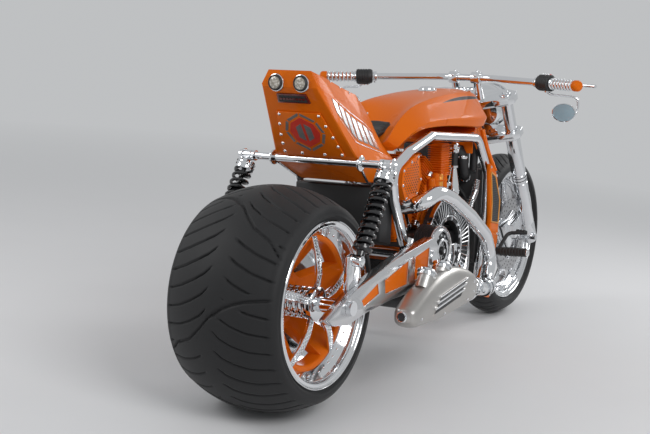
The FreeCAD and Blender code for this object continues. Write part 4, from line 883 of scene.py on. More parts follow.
def makeCylinderCover():
    # the orange cover beside the rear cylinder, a plate drilled all over, its holes dark discs of painted
    # shade
    part = softenedPart("cylinder_cover", 4)
    face = sideCover["face"]
    for row in range(sideCover["rows"]):
        for column in range(sideCover["columns"]):
            x = sideCover["first"][0] + (column + row % 2 / 2) * sideCover["pitch"][0]
            z = sideCover["first"][1] + row * sideCover["pitch"][1]
            if insideOutline((x, z), sideCover["drilled"], 3):
                addRod(part, (x, face - 0.5, z), (x, face + 0.8, z), sideCover["hole"], sides=12, paint=1)
    midX, midZ = sideCover["middle"]
    for x, z in sideCover["rim"]:
        addBolt(part, (x + (midX - x) * 0.1, face, z + (midZ - z) * 0.1), (0, -1, 0), 4, 2)
    edge = [Vector((x, face + 0.5, z)) for x, z in sideCover["rim"]]
    for near, far in zip(edge, edge[1:] + edge[:1]):
        addRod(part, near, far, 1.8, sides=10)
    finishPiece("drilledSideCover", part, ["orange_paint", "black_plastic", "chrome"], "frame",
                ["cylinder_cover"])


def insideOutline(spot, outline, margin=0):
    x, z = spot
    inside = False
    for i, (x1, z1) in enumerate(outline):
        x0, z0 = outline[i - 1]
        if (z0 > z) != (z1 > z) and x < x0 + (z - z0) * (x1 - x0) / (z1 - z0):
            inside = not inside
        length = max(0.001, math.hypot(x1 - x0, z1 - z0))
        if abs((x - x0) * (z1 - z0) - (z - z0) * (x1 - x0)) / length < margin and inside:
            share = ((x - x0) * (x1 - x0) + (z - z0) * (z1 - z0)) / length ** 2
            if -0.02 < share < 1.02:
                return False
    return inside


clutch = {
    "centre": (690, 0, 408), "radius": 84, "ribs": 7, "firstRib": -154, "pitch": 8, "bolts": 12,
    "boltRing": 51,
    "brightRing": ((66, -210), (84, -210.6), (84, -213), (80, -221), (72, -227), (66, -229), (63, -226),
                   (61, -219), (60, -212)),
    "middle": ((0.01, -213), (60, -213), (58, -218), (44, -220), (41, -226), (32, -227), (30, -220),
               (14, -220), (12, -230), (9, -232), (0.01, -232)),
    "thinRing": ((32, -226.4), (41, -225.6), (41, -227), (39, -228.4), (34, -228.6), (32, -227.6)),
}


def makeClutchCover():
    # a bright ring round a dark open middle, its drum ribbed
    part = bmesh.new()
    place = at(clutch["centre"])
    drum = [(0.01, -150.5), (clutch["radius"], -150.5)]
    for number in range(clutch["ribs"]):
        y = clutch["firstRib"] - number * clutch["pitch"]
        drum += [(clutch["radius"], y), (clutch["radius"], y - 4), (81.6, y - 4.8), (81.6, y - 7.2)]
    drum += [(clutch["radius"], -210.5), (70, -212), (0.01, -212)]
    for profile, paint in ((drum, 1), (clutch["brightRing"], 0), (clutch["middle"], 1),
                           (clutch["thinRing"], 2)):
        addTurned(part, profile, 72, paint, place)
    for spin in around(clutch["bolts"]):
        addBolt(part, place @ spin @ Vector((clutch["boltRing"], -219, 0)), (0, -1, 0), 4, 2)
        addBlock(part, place @ spin @ Vector((22, -221, 0)), (14, 4, 3), spin, 2, 0.8, 1)
    addRod(part, place @ Vector((0, -231, 0)), place @ Vector((0, -235, 0)), 8, sides=6, paint=2, rounding=1)
    finishPiece("clutchCoverRing", part, ["polished_alloy", "black_engine", "chrome"], "frame",
                ["clutch_cover"], None, 30)


primary = {"centre": (838, 0, 398), "ribs": 60, "bolts": 12, "boltRing": 98,
           "rings": ((104, 110), (170, 176)),
           "case": ((92, -151), (176, -151), (176, -166), (172, -170), (118, -178), (92, -178))}


def makePrimary():
    # the ribbed case round the clutch
    part = bmesh.new()
    place = at(primary["centre"])
    addTurned(part, primary["case"], 96, 0, place)
    rib = bmesh.new()
    addSlab(rib, [(112, -1.8), (169, -1.8), (169, 1.8), (112, 1.8)], -182, -168, 1, 0.8, 1)
    addCopies(part, rib, [place @ spin for spin in around(primary["ribs"])])
    for low, high in primary["rings"]:
        ring = [(low, -166), (high, -166), (high, -180), (high - 1.5, -182), (low + 1.5, -182), (low, -180)]
        addTurned(part, ring, 96, 1, place)
    for spin in around(primary["bolts"], "Y", 0.5):
        addBolt(part, place @ spin @ Vector((primary["boltRing"], -177, 0)), (0, -1, 0), 5, 1)
    finishPiece("primaryRibbed", part, ["black_engine", "chrome"], "frame")


# each with its points, radius, finish, sides and steps
bayPipes = (
    # hoses from the radiator's top and foot to the engine
    (((1126, -112, 612), (1092, -118, 618), (1078, -120, 660), (1076, -112, 708), (1030, -70, 730),
      (960, -40, 712)),
     19, 0, 6, 8),
    (((1126, -70, 600), (1080, -66, 596), (1050, -60, 560), (1020, -60, 500), (1002, -60, 452)),
     17, 0, 6, 8),
    (((1126, -116, 336), (1092, -120, 330), (1062, -122, 352), (1034, -122, 380), (996, -120, 384)),
     17, 0, 6, 8),
    # an orange stay from the tank to the shroud, and a hose behind it
    (((1199, -138, 780), (1196, -156, 720), (1188, -184, 664), (1180, -201, 634)), 8.5, 2, 5, 6),
    (((1130, -136, 640), (1127, -140, 690), (1124, -138, 730), (1124, -120, 768)), 15, 0, 6, 8),
)
bayClamps = (((1112, -114, 614), (1, 0.1, -0.1)), ((1077, -116, 688), (0, -0.1, 1)),
             ((1112, -117, 334), (1, 0.1, 0.1)), ((1010, -121, 384), (1, 0, -0.1)))
silverHose = {"line": ((1118, -158, 600), (1100, -160, 562), (1067, -160, 532), (1043, -160, 499),
                       (1030, -152, 452)),
              "radius": 10, "pitch": 6, "ring": ((9, -2), (12.4, -1.6), (13, 0), (12.4, 1.6), (9, 2))}
column = {
    "place": (1022, -108, 0), "nuts": 5, "nutHeight": 724, "nutRing": 14,
    "foot": ((0.01, 520), (15, 520), (17, 524), (17, 534), (13, 538), (13, 548), (22, 552), (24, 566),
             (20, 600), (13, 640), (11, 650), (16, 653), (16, 660), (0.01, 660)),
    "sleeve": ((0.01, 659), (12.5, 659), (12.5, 706), (0.01, 706)),
    "top": ((0.01, 705), (15, 705), (18, 709), (18, 716), (14, 720), (14, 735), (10, 740), (0.01, 741)),
}
# x, foot, top and finish of the upright tubes
bayTubes = ((848, 532, 622, 2), (880, 528, 636, 2), (914, 526, 634, 3), (946, 526, 634, 2))
bayFilter = {"place": (1050, 0, 286), "ribs": 14, "pump": (1052, 0, 456),
             "can": ((0.01, -60), (37, -60), (38, -70), (38, -142), (35, -148), (18, -151), (0.01, -151)),
             "pumpBody": ((0.01, -58), (30, -58), (31, -64), (31, -134), (27, -140), (0.01, -140)),
             "pumpCap": ((0.01, -141), (19, -139), (19, -146), (15, -149), (0.01, -149))}


def makeBay():
    part = bmesh.new()
    # chrome column ahead of the front cylinder: nuts, a black sleeve, a flared foot
    upright = at(column["place"]) @ turned(90, "X")
    for name, steps, paint in (("foot", 40, 1), ("sleeve", 32, 0), ("top", 32, 1)):
        addTurned(part, column[name], steps, paint, upright)
    nuts = at((*column["place"][:2], column["nutHeight"]))
    for spin in around(column["nuts"], "Z"):
        spin = nuts @ spin
        addBolt(part, spin @ Vector((column["nutRing"], 0, 0)), spin.to_3x3() @ Vector((1, 0, 0)), 5, 1)
    addBlock(part, (996, -98, 596), (50, 20, 14), None, 1, 3)
    # ribbed housing ahead of the front cylinder, its tubes below
    addBlock(part, (944, -88, 684), (74, 44, 116), None, 2, 6, 2)
    for number in range(14):
        addBlock(part, (944, -88, 632 + number * 8), (86, 54, 3.2), None, 2, 1, 1)
    for x, low, high, paint in bayTubes:
        addRod(part, (x, -104, low), (x, -104, high), 12.5, sides=28, paint=paint, rounding=2)
        addDome(part, at((x, -104, high)), 12.5, 8, paint, 4, 24)
        addRod(part, (x, -104, low - 4), (x, -104, low + 9), 15, sides=28, paint=1, rounding=1.4)
        addRod(part, (x, -104, high - 22), (x, -104, high - 15), 14.2, sides=28, paint=2, rounding=1)
    addBlock(part, (898, -94, 520), (136, 40, 16), None, 1, 4)
    for points, *settings in bayPipes:
        addPipe(part, points, *settings)
    for spot, along in bayClamps:
        along = Vector(along).normalized() * 5
        spot = Vector(spot)
        addRod(part, spot - along, spot + along, 20.6, sides=28, paint=1, rounding=1)
    # a ribbed silver hose down beside the radiator
    line = [Vector(spot) for spot in silverHose["line"]]
    addPipe(part, line, silverHose["radius"], 0, sides=5, steps=6)
    ring = bmesh.new()
    addTurned(ring, silverHose["ring"], 24, 1)
    places = []
    for near, far in zip(line, line[1:]):
        turn = (far - near).to_track_quat("Y", "Z").to_matrix().to_4x4()
        count = int((far - near).length / silverHose["pitch"])
        places += [at(near.lerp(far, number / count)) @ turn for number in range(count)]
    addCopies(part, ring, places)
    # header tank over the radiator, filter and pump ahead of the case
    addBlock(part, (1104, 0, 690), (78, 236, 78), None, 0, 12, 3)
    addBlock(part, (1060, -40, 640), (40, 90, 96), None, 0, 8, 3)
    addTurned(part, bayFilter["can"], 44, 1, at(bayFilter["place"]))
    for spin in around(bayFilter["ribs"]):
        spin = at(bayFilter["place"]) @ spin
        addBlock(part, spin @ Vector((38, -128, 0)), (3, 26, 6), turnOf(spin), 1, 0.8, 1)
    addTurned(part, bayFilter["pumpBody"], 40, 0, at(bayFilter["pump"]))
    addTurned(part, bayFilter["pumpCap"], 32, 1, at(bayFilter["pump"]))
    # thin lines along the case
    for y, z, radius, paint in ((-166, 232, 4, 1), (-158, 246, 3.2, 0), (-163, 258, 3.2, 1)):
        addPipe(part, [(1040, y, z + 170), (1052, y, z + 90), (1030, y, z + 20), (990, y, z - 4),
                       (900, y, z - 12), (760, y, z - 14)], radius, paint, sides=4, steps=8)
    for x, z in ((1018, 330), (1022, 372), (1016, 414), (1008, 448), (1002, 300)):
        addRod(part, (x, -118, z), (x, -152, z), 11, sides=24, paint=0, rounding=1.4)
        addBolt(part, (x, -152, z), (0, -1, 0), 6, 1)
    finishPiece("engineBayParts", part, ["black_engine", "chrome", "orange_paint", "vent_brass"], "frame")


makeCylinder("rearCylinderFins", "cylinder_rear", -1)
makeCylinder("frontCylinderFins", "cylinder_front", 1)
makeCrankcase()
makeCylinderCover()
makeClutchCover()
makePrimary()
makeBay()
print("engine built")


# the plain bodies with their edges rounded

for node, name, width, angle in (
        ("tail_cowl", "tailCowlRounded", 4, 12), ("battery_box", "batteryBoxRounded", 6, 22),
        ("lower_clamp", "lowerClampRounded", 3, 30), ("upper_clamp", "upperClampRounded", 3, 30),
        ("belt_cover", "beltCoverRounded", 4, 22), ("stand_hanger", "standHangerRounded", 1.5, 30),
        ("levers", "leversRounded", 1.6, 30), ("front_calipers", "calipersRounded", 4, 22),
        ("rear_caliper", "rearCaliperRounded", 3, 22), ("steering_head", "steeringHeadRounded", 2, 40)):
    body = next(item for item, names in frame["record"]["behaviour"]["bodies"].items() if node in names)
    finishPiece(name, softened(node, width, angle), [slotOf[node]], body, [node], smooth=30, stood=False)
print("bodies rounded")


# tail trim: lamps, plate, dashes, edge strip

backFace = Matrix(((0, -0.60846, -0.79358, 66), (-1, 0, 0, 0), (0, 0.79358, -0.60846, 951), (0, 0, 0, 1)))
faceSlab = backFace @ turned(-90, "X")
tailRows = {
    66: ((91, 951), (93, 953), (95, 959), (72, 1001)), 159: ((118, 831), (122, 835), (101, 922), (70, 978)),
    250: ((146, 711), (150, 716), (100, 885), (70, 950)), 345: ((121, 655), (151, 705), (100, 846),
                                                                (70, 925)),
    434: ((118, 656), (152, 700), (100, 795), (70, 860)), 482: ((120, 690), (153, 705), (100, 761),
                                                                (70, 806)),
}


def tailSide(x, line, share, side, out=0.0):
    # a spot on the tail's side, on or between the lines of its rows
    stations = sorted(tailRows)
    after = next((s for s in stations if s >= x), stations[-1])
    before = max([s for s in stations if s < x] or [stations[0]])
    blend = (x - before) / (after - before) if after > before else 0
    spots = []
    for row in (line, line + 1):
        (y0, z0), (y1, z1) = tailRows[before][row], tailRows[after][row]
        spots.append(Vector((x, side * (y0 + (y1 - y0) * blend), z0 + (z1 - z0) * blend)))
    low, high = spots
    across = (high - low).normalized()
    normal = Vector((0, side * across.z, -side * across.y)).normalized()
    return low.lerp(high, share) + normal * out


def addPatch(part, corners, paint, lift=0.0):
    # a thin mark on the tail's side: its corners as (x, share up the side)
    piece = bmesh.new()
    for side in (-1, 1):
        near = [piece.verts.new(tailSide(x, 1, share, side, -0.6)) for x, share in corners]
        far = [piece.verts.new(tailSide(x, 1, share, side, 1.0 + lift)) for x, share in corners]
        piece.faces.new(far)
        piece.faces.new(near)
        for i in range(len(near)):
            piece.faces.new((near[i], near[i - 1], far[i - 1], far[i]))
    bmesh.ops.recalc_face_normals(piece, faces=piece.faces)
    joined(part, piece, paint)


tailDashes = {"first": 158, "pitch": 37, "length": 24, "count": 7, "low": 0.50, "high": 0.86, "slant": 16}
# two thin lines on the tail's side, each from x to x at a share of its height
tailLines = {"steps": 10, "width": 0.016, "runs": ((170, 424, 0.40), (160, 410, 0.94))}


def makeTailMarks():
    part = bmesh.new()
    for number in range(tailDashes["count"]):
        x = tailDashes["first"] + number * tailDashes["pitch"]
        low, high, slant = tailDashes["low"], tailDashes["high"], tailDashes["slant"]
        for near, far, edge, lift, paint in ((-2.5, tailDashes["length"] + 2.5, 0.022, 0.0, 1),
                                             (0, tailDashes["length"], 0, 0.5, 0)):
            addPatch(part, [(x + near, low - edge), (x + far, low - edge), (x + far - slant, high + edge),
                            (x + near - slant, high + edge)], paint, lift)
    steps = tailLines["steps"]
    for x0, x1, share in tailLines["runs"]:
        above = share + tailLines["width"]
        for step in range(steps):
            a, b = x0 + (x1 - x0) * step / steps, x0 + (x1 - x0) * (step + 1) / steps
            addPatch(part, [(a, share), (b, share), (b, above), (a, above)], 0)
    finishPiece("tailSilverDashes", part, ["polished_alloy", "badge_grey"], "frame")


badge = {"scale": 1.32, "middle": -168,
         "corners": ((0, 44), (30, 26), (40, 0), (30, -26), (0, -44), (-30, -26), (-40, 0), (-30, 26)),
         "bar": ((5, 34), (26, 20), (26, -20), (5, -34)),
         "bolts": ((68, -101), (80, -140), (91, -183), (101, -250), (40, -253), (97, -218))}


def makeTailPlate():
    part = softenedPart("tail_plate", 1.2, 30)
    for x, y in badge["bolts"]:
        for side in (-1, 1):
            addDome(part, backFace @ at((x * side, y, 5.2)), 5.2, 4, 1, 3, 14)
    red = [Vector((x * badge["scale"], y * badge["scale"])) for x, y in badge["corners"]]
    addSlab(part, [(p.x, p.y + badge["middle"]) for p in red], -6.6, -5.2, 2, 0.4, 1, faceSlab)
    for near, far in zip(red, red[1:] + red[:1]):
        a, b = near * 1.14, far * 1.14
        c, d = b * 1.16, a * 1.16
        a, d = a.lerp(b, 0.07), d.lerp(c, 0.07)
        b, c = b.lerp(a, 0.07), c.lerp(d, 0.07)
        addSlab(part, [(p.x, p.y + badge["middle"]) for p in (a, b, c, d)], -6.4, -5.2, 3, 0.3, 1, faceSlab)
    for side in (-1, 1):
        bar = [(side * x, y + badge["middle"]) for x, y in badge["bar"]]
        addSlab(part, bar, -7.2, -6.4, 3, 0.2, 1, faceSlab)
    finishPiece("tailPlateBadge", part, ["orange_paint", "chrome", "badge_red", "badge_grey"], "frame",
                ["tail_plate"])


tailLamp = {
    "middle": (66, 43, 964), "beads": 8, "beadPitch": 11,
    "turned": ((((0.01, -25), (18.9, -25), (18.9, 12), (15, 14.6), (8, 16), (0.01, 16.4)), 0),
               (((19.2, -0.5), (24, -0.5), (24, 6), (23, 12), (21.4, 14), (19.2, 14)), 1),
               (((24, -0.5), (27, -0.5), (27, 3), (25.6, 6), (24, 6.6)), 3)),
    "frame": ((-50, -22), (50, -22), (56, -56), (-56, -56)), "lens": ((-44, -27), (44, -27), (49, -51),
                                                                      (-49, -51)),
}


def makeTailLamps():
    part = bmesh.new()
    x, y, z = tailLamp["middle"]
    for side in (-1, 1):
        for profile, paint in tailLamp["turned"]:
            addTurned(part, profile, 40, paint, at((x, side * y, z)) @ turned(90, "Z"))
    addSlab(part, tailLamp["frame"], -5.3, -0.3, 2, 1.5, 2, faceSlab)
    addSlab(part, tailLamp["lens"], -6.3, -5.0, 1, 0.5, 1, faceSlab)
    for number in range(tailLamp["beads"]):
        x = (number - (tailLamp["beads"] - 1) / 2) * tailLamp["beadPitch"]
        addRod(part, faceSlab @ Vector((x, -6, -39)), faceSlab @ Vector((x, -7.6, -39)), 4.2, sides=16,
               paint=2)
    finishPiece("tailLampLenses", part, ["lamp_lens", "black_plastic", "tail_red", "chrome"], "frame",
                ["tail_lamps"])


def makeTailEdge():
    part = bmesh.new()
    for side in (-1, 1):
        line = [tailSide(x, 0, 0, side) + Vector((0, side * 0.5, -1)) for x in (251, 280, 310, 344, 380, 433,
                                                                                470, 481)]
        addPipe(part, line, 4.2, sides=4, steps=3)
        spots = [tailSide(x, 2, 0.93, side, 0.5) for x in (180, 240, 300, 360, 420)]
        for spot in spots:
            addDome(part, at(spot), 3.4, 3.4, 0, 2, 10)
    finishPiece("tailChromeEdge", part, ["chrome"], "frame")


makeTailMarks()
makeTailPlate()
makeTailLamps()
makeTailEdge()
print("tail trimmed")


# tank, smooth along its length with the shoulder crease kept

tankRows = ((500, 742, 128, 756, 145, 776, 103, 752, 64), (600, 806, 158, 822, 163, 862, 105, 786, 66),
            (720, 812, 162, 835, 166, 893, 104, 884, 50), (930, 808, 160, 835, 166, 913, 101, 920, 50),
            (1160, 786, 152, 825, 160, 920, 96, 930, 45), (1290, 790, 108, 820, 122, 903, 76, 917, 38),
            (1335, 812, 70, 822, 82, 842, 58, 846, 30))


def solved(piece):
    # an object's mesh as its modifiers leave it
    graph = bpy.context.evaluated_depsgraph_get()
    mesh = bpy.data.meshes.new_from_object(piece.evaluated_get(graph))
    part = bmesh.new()
    part.from_mesh(mesh)
    bpy.data.meshes.remove(mesh)
    old = piece.data
    bpy.data.objects.remove(piece)
    bpy.data.meshes.remove(old)
    return part


def held(part, name):
    mesh = bpy.data.meshes.new(name)
    part.to_mesh(mesh)
    part.free()
    piece = bpy.data.objects.new(name, mesh)
    bpy.context.scene.collection.objects.link(piece)
    return piece


tankCrease = {"round": (0.75, 0.55, 0.8, 0.15, 0.15, 0.8, 0.55, 0.75), "rear": 0.7, "front": 0.45}
tankCap = {"place": (1010, 0, 921.5), "lean": -2, "bolts": 8, "boltRing": 30.5,
           "profile": ((0.01, -4), (34, -4), (34, 2), (31, 5), (29, 5), (28, 9), (24, 13), (12, 15),
                       (0.01, 15.5))}
# the tunnel over the steering head and the frame: x, then the half width, foot and top
tankTunnel = ((1084.2, 150.8, 699, 742.8), (1405.8, 34.8, 729, 848.8))


def makeTank():
    cage = bmesh.new()
    crease = cage.edges.layers.float.new("crease_edge")
    rings = []
    for x, low, lowHalf, wide, wideHalf, ridge, ridgeHalf, top, topHalf in tankRows:
        half = [(-lowHalf, low), (-wideHalf, wide), (-ridgeHalf, ridge), (-topHalf, top)]
        whole = half + [(-y, z) for y, z in reversed(half)]
        rings.append([cage.verts.new((x, y, z)) for y, z in whole])
    for near, far in zip(rings, rings[1:]):
        for i in range(8):
            cage.faces.new((near[i], near[(i + 1) % 8], far[(i + 1) % 8], far[i]))
    for ring, keep in ((rings[0], tankCrease["rear"]), (rings[-1], tankCrease["front"])):
        cage.faces.new(ring)
        for i in range(8):
            cage.edges.get((ring[i], ring[(i + 1) % 8]))[crease] = keep
    for near, far in zip(rings, rings[1:]):
        for i in range(8):
            cage.edges.get((near[i], far[i]))[crease] = tankCrease["round"][i]
    bmesh.ops.recalc_face_normals(cage, faces=cage.faces)
    tank = held(cage, "tankCage")
    smooth = tank.modifiers.new("smooth", "SUBSURF")
    smooth.levels = smooth.render_levels = 3
    tunnel = bmesh.new()
    addLoft(tunnel, [[(x, -half, low), (x, -half, high), (x, half, high), (x, half, low)]
                     for x, half, low, high in tankTunnel])
    cutter = held(tunnel, "tankTunnel")
    cut = tank.modifiers.new("cut", "BOOLEAN")
    cut.object = cutter
    cut.solver = "EXACT"
    part = solved(tank)
    bpy.data.objects.remove(cutter)
    for face in part.faces:
        face.material_index = 0
    cap = at(tankCap["place"]) @ turned(tankCap["lean"], "Y") @ turned(90, "X")
    addTurned(part, tankCap["profile"], 48, 1, cap)
    for spin in around(tankCap["bolts"]):
        addDome(part, cap @ spin @ at((tankCap["boltRing"], 4.6, 0)) @ turned(-90, "X"), 1.8, 1.2, 1, 2, 8)
    tank = finishPiece("tankSmooth", part, ["orange_paint", "chrome"], "frame", ["fuel_tank"], None, 28)
    tank.data.materials[0] = finish["tank_paint"]


# seat pad: a sewn leather cushion

cushion = {"rounding": 7, "shrink": 5, "voxel": 0.0055, "pressure": 4, "frames": 20, "swell": 0.006,
           "seams": (386, 428, 470, 512, 560, 610), "seamWidth": 4.0, "edgeSeam": 46, "edgeWidth": 3.0,
           "seamDepth": 0.0035}


def makeSeat():
    part = softenedPart("seat_pad", cushion["rounding"], 30)
    bmesh.ops.triangulate(part, faces=part.faces)
    bmesh.ops.recalc_face_normals(part, faces=part.faces)
    part.normal_update()
    for vert in part.verts:
        vert.co -= vert.normal * cushion["shrink"]
    bmesh.ops.transform(part, matrix=standing, verts=part.verts)
    seat = held(part, "seatCushion")
    mesher = seat.modifiers.new("mesher", "REMESH")
    mesher.mode = "VOXEL"
    mesher.voxel_size = cushion["voxel"]
    part = solved(seat)
    seat = held(part, "seatCushion")
    start = [vert.co.copy() for vert in seat.data.vertices]
    cloth = seat.modifiers.new("cloth", "CLOTH")
    cloth.settings.use_pressure = True
    cloth.settings.uniform_pressure_force = cushion["pressure"]
    cloth.settings.effector_weights.gravity = 0
    for step in range(1, cushion["frames"] + 1):
        bpy.context.scene.frame_set(step)
    graph = bpy.context.evaluated_depsgraph_get()
    blown = [vert.co.copy() for vert in seat.evaluated_get(graph).data.vertices]
    seat.modifiers.remove(cloth)
    bpy.context.scene.frame_set(1)
    for vert, before, after in zip(seat.data.vertices, start, blown):
        move = after - before
        vert.co = before + move * min(1, cushion["swell"] / max(move.length, 1e-9))
    smooth = seat.modifiers.new("smooth", "SUBSURF")
    smooth.levels = smooth.render_levels = 1
    part = solved(seat)
    part.normal_update()
    undo = standing.inverted()
    for vert in part.verts:
        spot = undo @ vert.co
        top = vert.normal.z > -0.2
        sew = min(abs(spot.x - line) for line in cushion["seams"])
        out = abs(spot.y) - cushion["edgeSeam"]
        rows = math.exp(-(sew / cushion["seamWidth"]) ** 2) if top else 0
        side = math.exp(-(out / cushion["edgeWidth"]) ** 2) if top else 0
        vert.co -= vert.normal * cushion["seamDepth"] * max(rows * (out < 0), side)
    seat = finishPiece("seatCushionPad", part, ["seat_leather"], "frame", ["seat_pad"], smooth=180,
                       stood=False)


# muffler, radiator, fork, bars, lamp, controls

mufflerRings = ((250, 30, 22, 272), (268, 38, 33, 270), (330, 41, 51, 284), (430, 42, 71, 300),
                (540, 42, 76, 310), (640, 42, 64, 306), (712, 38, 46, 297), (738, 30, 33, 291),
                (750, 27, 27, 289))


muffler = {
    "y": -304, "square": 0.62, "sides": 40, "outlet": (250, -300, 272),
    "rings": ((250, -6), (251, -3), (254, -1)),
    "recess": {"from": 402, "to": 606, "z": 287, "rise": 0.14, "half": 29, "slant": 0.9, "steps": 14},
    "bars": ((279, 3), (296, 3), (311, 2)),
    "pipe": ((742, -304, 290), (780, -303, 285), (820, -301, 274), (846, -300, 267), (868.2, -300, 264)),
    "clamps": ((762, 287.5), (800, 280)), "stubs": ((376, 345), (486, 352)),
    "stubRing": ((25, -17), (29.5, -16), (29.5, -11), (26, -9.5), (26, -5), (31.5, -3), (32.5, 1), (30, 4.5),
                 (25, 5), (22.5, 2), (22.5, -8)),
    "bolts": ((296, 262), (470, 250), (640, 268), (690, 286), (690, 318)),
}


def mufflerAt(x):
    # the oval's half width, half height and middle height at a station, on a smooth line through the rings
    stations = [ring[0] for ring in mufflerRings]
    after = max(1, min(len(stations) - 1, sum(1 for s in stations if s < x)))
    blend = (x - stations[after - 1]) / (stations[after] - stations[after - 1])
    sizes = []
    for item in (1, 2, 3):
        slope = []
        for spot in (after - 1, after):
            low, high = max(0, spot - 1), min(len(stations) - 1, spot + 1)
            rise = mufflerRings[high][item] - mufflerRings[low][item]
            slope.append(rise / (stations[high] - stations[low]))
        near, far = mufflerRings[after - 1][item], mufflerRings[after][item]
        run = stations[after] - stations[after - 1]
        t, t2, t3 = blend, blend * blend, blend ** 3
        sizes.append(near * (2 * t3 - 3 * t2 + 1) + slope[0] * run * (t3 - 2 * t2 + t)
                     + far * (3 * t2 - 2 * t3) + slope[1] * run * (t3 - t2))
    return sizes


def mufflerRing(x, grow=0.0):
    wide, tall, middle = mufflerAt(x)
    ring = []
    for number in range(muffler["sides"]):
        turn = math.tau * number / muffler["sides"]
        across, up = math.cos(turn), math.sin(turn)
        ring.append((x, muffler["y"] + (wide + grow) * math.copysign(abs(across) ** muffler["square"],
                                                                     across),
                     middle + (tall + grow) * math.copysign(abs(up) ** muffler["square"], up)))
    return ring


def sideOf(x, z):
    # how far out the muffler's right side lies at a height
    wide, tall, middle = mufflerAt(x)
    up = min(0.999, abs(z - middle) / tall) ** (1 / muffler["square"])
    return muffler["y"] - wide * math.sqrt(1 - up * up) ** muffler["square"]


def addInlay(part, x0, x1, z0, tall, out, deep, paint):
    # a long slanted mark that follows the muffler's side
    rings = []
    slant, steps = muffler["recess"]["slant"], muffler["recess"]["steps"]
    for step in range(steps + 1):
        x = x0 + (x1 - x0) * step / steps
        z = z0 + (x - x0) * muffler["recess"]["rise"]
        ring = []
        for share in (-1, -0.5, 0, 0.5, 1):
            along, height = x + tall * share * slant, z + tall * share
            ring.append((along, sideOf(along, height) - out, height))
        rings.append(ring + [(along, y + deep, height) for along, y, height in reversed(ring)])
    addLoft(part, rings, paint)


def makeMuffler():
    part = bmesh.new()
    rings = [mufflerRing(x, grow) for x, grow in muffler["rings"]]
    rings += [mufflerRing(x) for x in range(260, 750, 10)]
    addLoft(part, rings)
    # outlet in the tail's end: a dark disc painted as the shade inside the pipe, in a chrome ring
    outlet = at(muffler["outlet"]) @ turned(90, "Z")
    addTurned(part, [(0.01, 2), (13, 2), (13, -0.6), (0.01, -0.6)], 36, 1, outlet)
    addTurned(part, [(13, 5), (16, 5), (17.5, 2.5), (17, -1), (13, -1)], 36, 2, outlet)
    # a dark slanted patch on a raised rim, painted shade in place of a recess, crossed by three long bright
    # bars
    low, high, z, half = (muffler["recess"][name] for name in ("from", "to", "z", "half"))
    addInlay(part, low, high, z, half, 0.9, 4, 0)
    addInlay(part, low + 6, high - 6, z + 1, half - 3, 1.8, 2, 1)
    for height, bar in muffler["bars"]:
        along = (height - z - 1) * muffler["recess"]["slant"]
        addInlay(part, low - 4 + along, high + 4 + along, height - 1.4, bar, 4.2, 4, 2)
    # the front pipe up to the header, with its two clamps
    addPipe(part, muffler["pipe"], 25.6, 2, sides=8, steps=8)
    for x, z in muffler["clamps"]:
        addRod(part, (x - 6, -303, z + 1.4), (x + 6, -303, z - 1.4), 31, sides=44, paint=2, rounding=2)
        addBolt(part, (x, -331, z - 14), (0, -1, -0.4), 5, 2, 8)
    # the two upper pipes, their open ends drawn as dark discs of painted shade in turned rings
    for x, z in muffler["stubs"]:
        low, high = Vector((x, muffler["y"], z - 8)), Vector((x + 34, muffler["y"], z + 40))
        out = (high - low).normalized()
        addRod(part, low, high, 25.5, sides=44, paint=0)
        turn = out.to_track_quat("Y", "Z").to_matrix().to_4x4()
        place = at(high) @ turn
        addTurned(part, muffler["stubRing"], 52, 2, place)
        addTurned(part, [(0.01, 0.6), (22.6, 0.6), (22.6, -0.6), (0.01, -0.6)], 52, 1, place)
        addDome(part, place @ turned(-90, "X"), 6, 5, 2, 3, 16)
    for x, z in muffler["bolts"]:
        addBolt(part, (x, sideOf(x, z) + 0.6, z), (0, -1, 0), 3.6, 2, 3)
    finishPiece("mufflerSlotted", part, ["satin_alloy", "black_plastic", "chrome"], "frame", ["muffler"],
                None, 30)


def rowInside(outline, level):
    # where a level line enters and leaves an outline
    hits = []
    for i, (x1, z1) in enumerate(outline):
        x0, z0 = outline[i - 1]
        if (z0 > level) != (z1 > level):
            hits.append(x0 + (level - z0) * (x1 - x0) / (z1 - z0))
    return (min(hits), max(hits)) if hits else (0, 0)


shroud = {
    "window": ((1139, 634), (1180, 616), (1230, 522), (1222, 440), (1156, 452), (1158, 520)),
    "rows": 22, "firstRow": 450, "rowPitch": 8.4, "columns": 5, "firstColumn": 1168, "columnPitch": 12,
    "bolts": ((1140, 652), (1196, 616), (1218, 400), (1180, 290), (1190, 190), (1100, 214), (1000, 224),
              (1120, 272), (1146, 380), (1172, 180)),
}


def makeShroud():
    # the vent on each side: a dark sheet in the window, painted shade in place of the opening, in a brass
    # rim, with a mesh of thin bars
    part = softenedPart("radiator_shroud", 2.5, 30)
    window = shroud["window"]
    for side in (-1, 1):
        low, high = sorted((side * 201.6, side * 203.4))
        addSlab(part, window, low, high, 1)
        rim = [Vector((x, side * 203.2, z)) for x, z in window]
        for near, far in zip(rim, rim[1:] + rim[:1]):
            addRod(part, near, far, 3.2, sides=12, paint=2)
        for number in range(shroud["rows"]):
            z = shroud["firstRow"] + number * shroud["rowPitch"]
            left, right = rowInside(window, z)
            if right - left > 12:
                addBlock(part, ((left + right) / 2, side * 203.6, z), (right - left - 9, 1.4, 2.0), None, 4)
        for number in range(shroud["columns"]):
            x = shroud["firstColumn"] + number * shroud["columnPitch"]
            spots = rowInside([(z, x) for x, z in window], x)
            if spots[1] - spots[0] > 20:
                addBlock(part, (x, side * 203.8, sum(spots) / 2), (1.6, 1.4, spots[1] - spots[0] - 9), None,
                         4)
        for x, z in shroud["bolts"]:
            addBolt(part, (x, side * 202.3, z), (0, side, 0), 4, 3, 3)
    finishPiece("radiatorSideVented", part, ["orange_paint", "black_plastic", "vent_brass", "chrome",
                                             "vent_metal"],
                "frame", ["radiator_shroud"], None, 30)


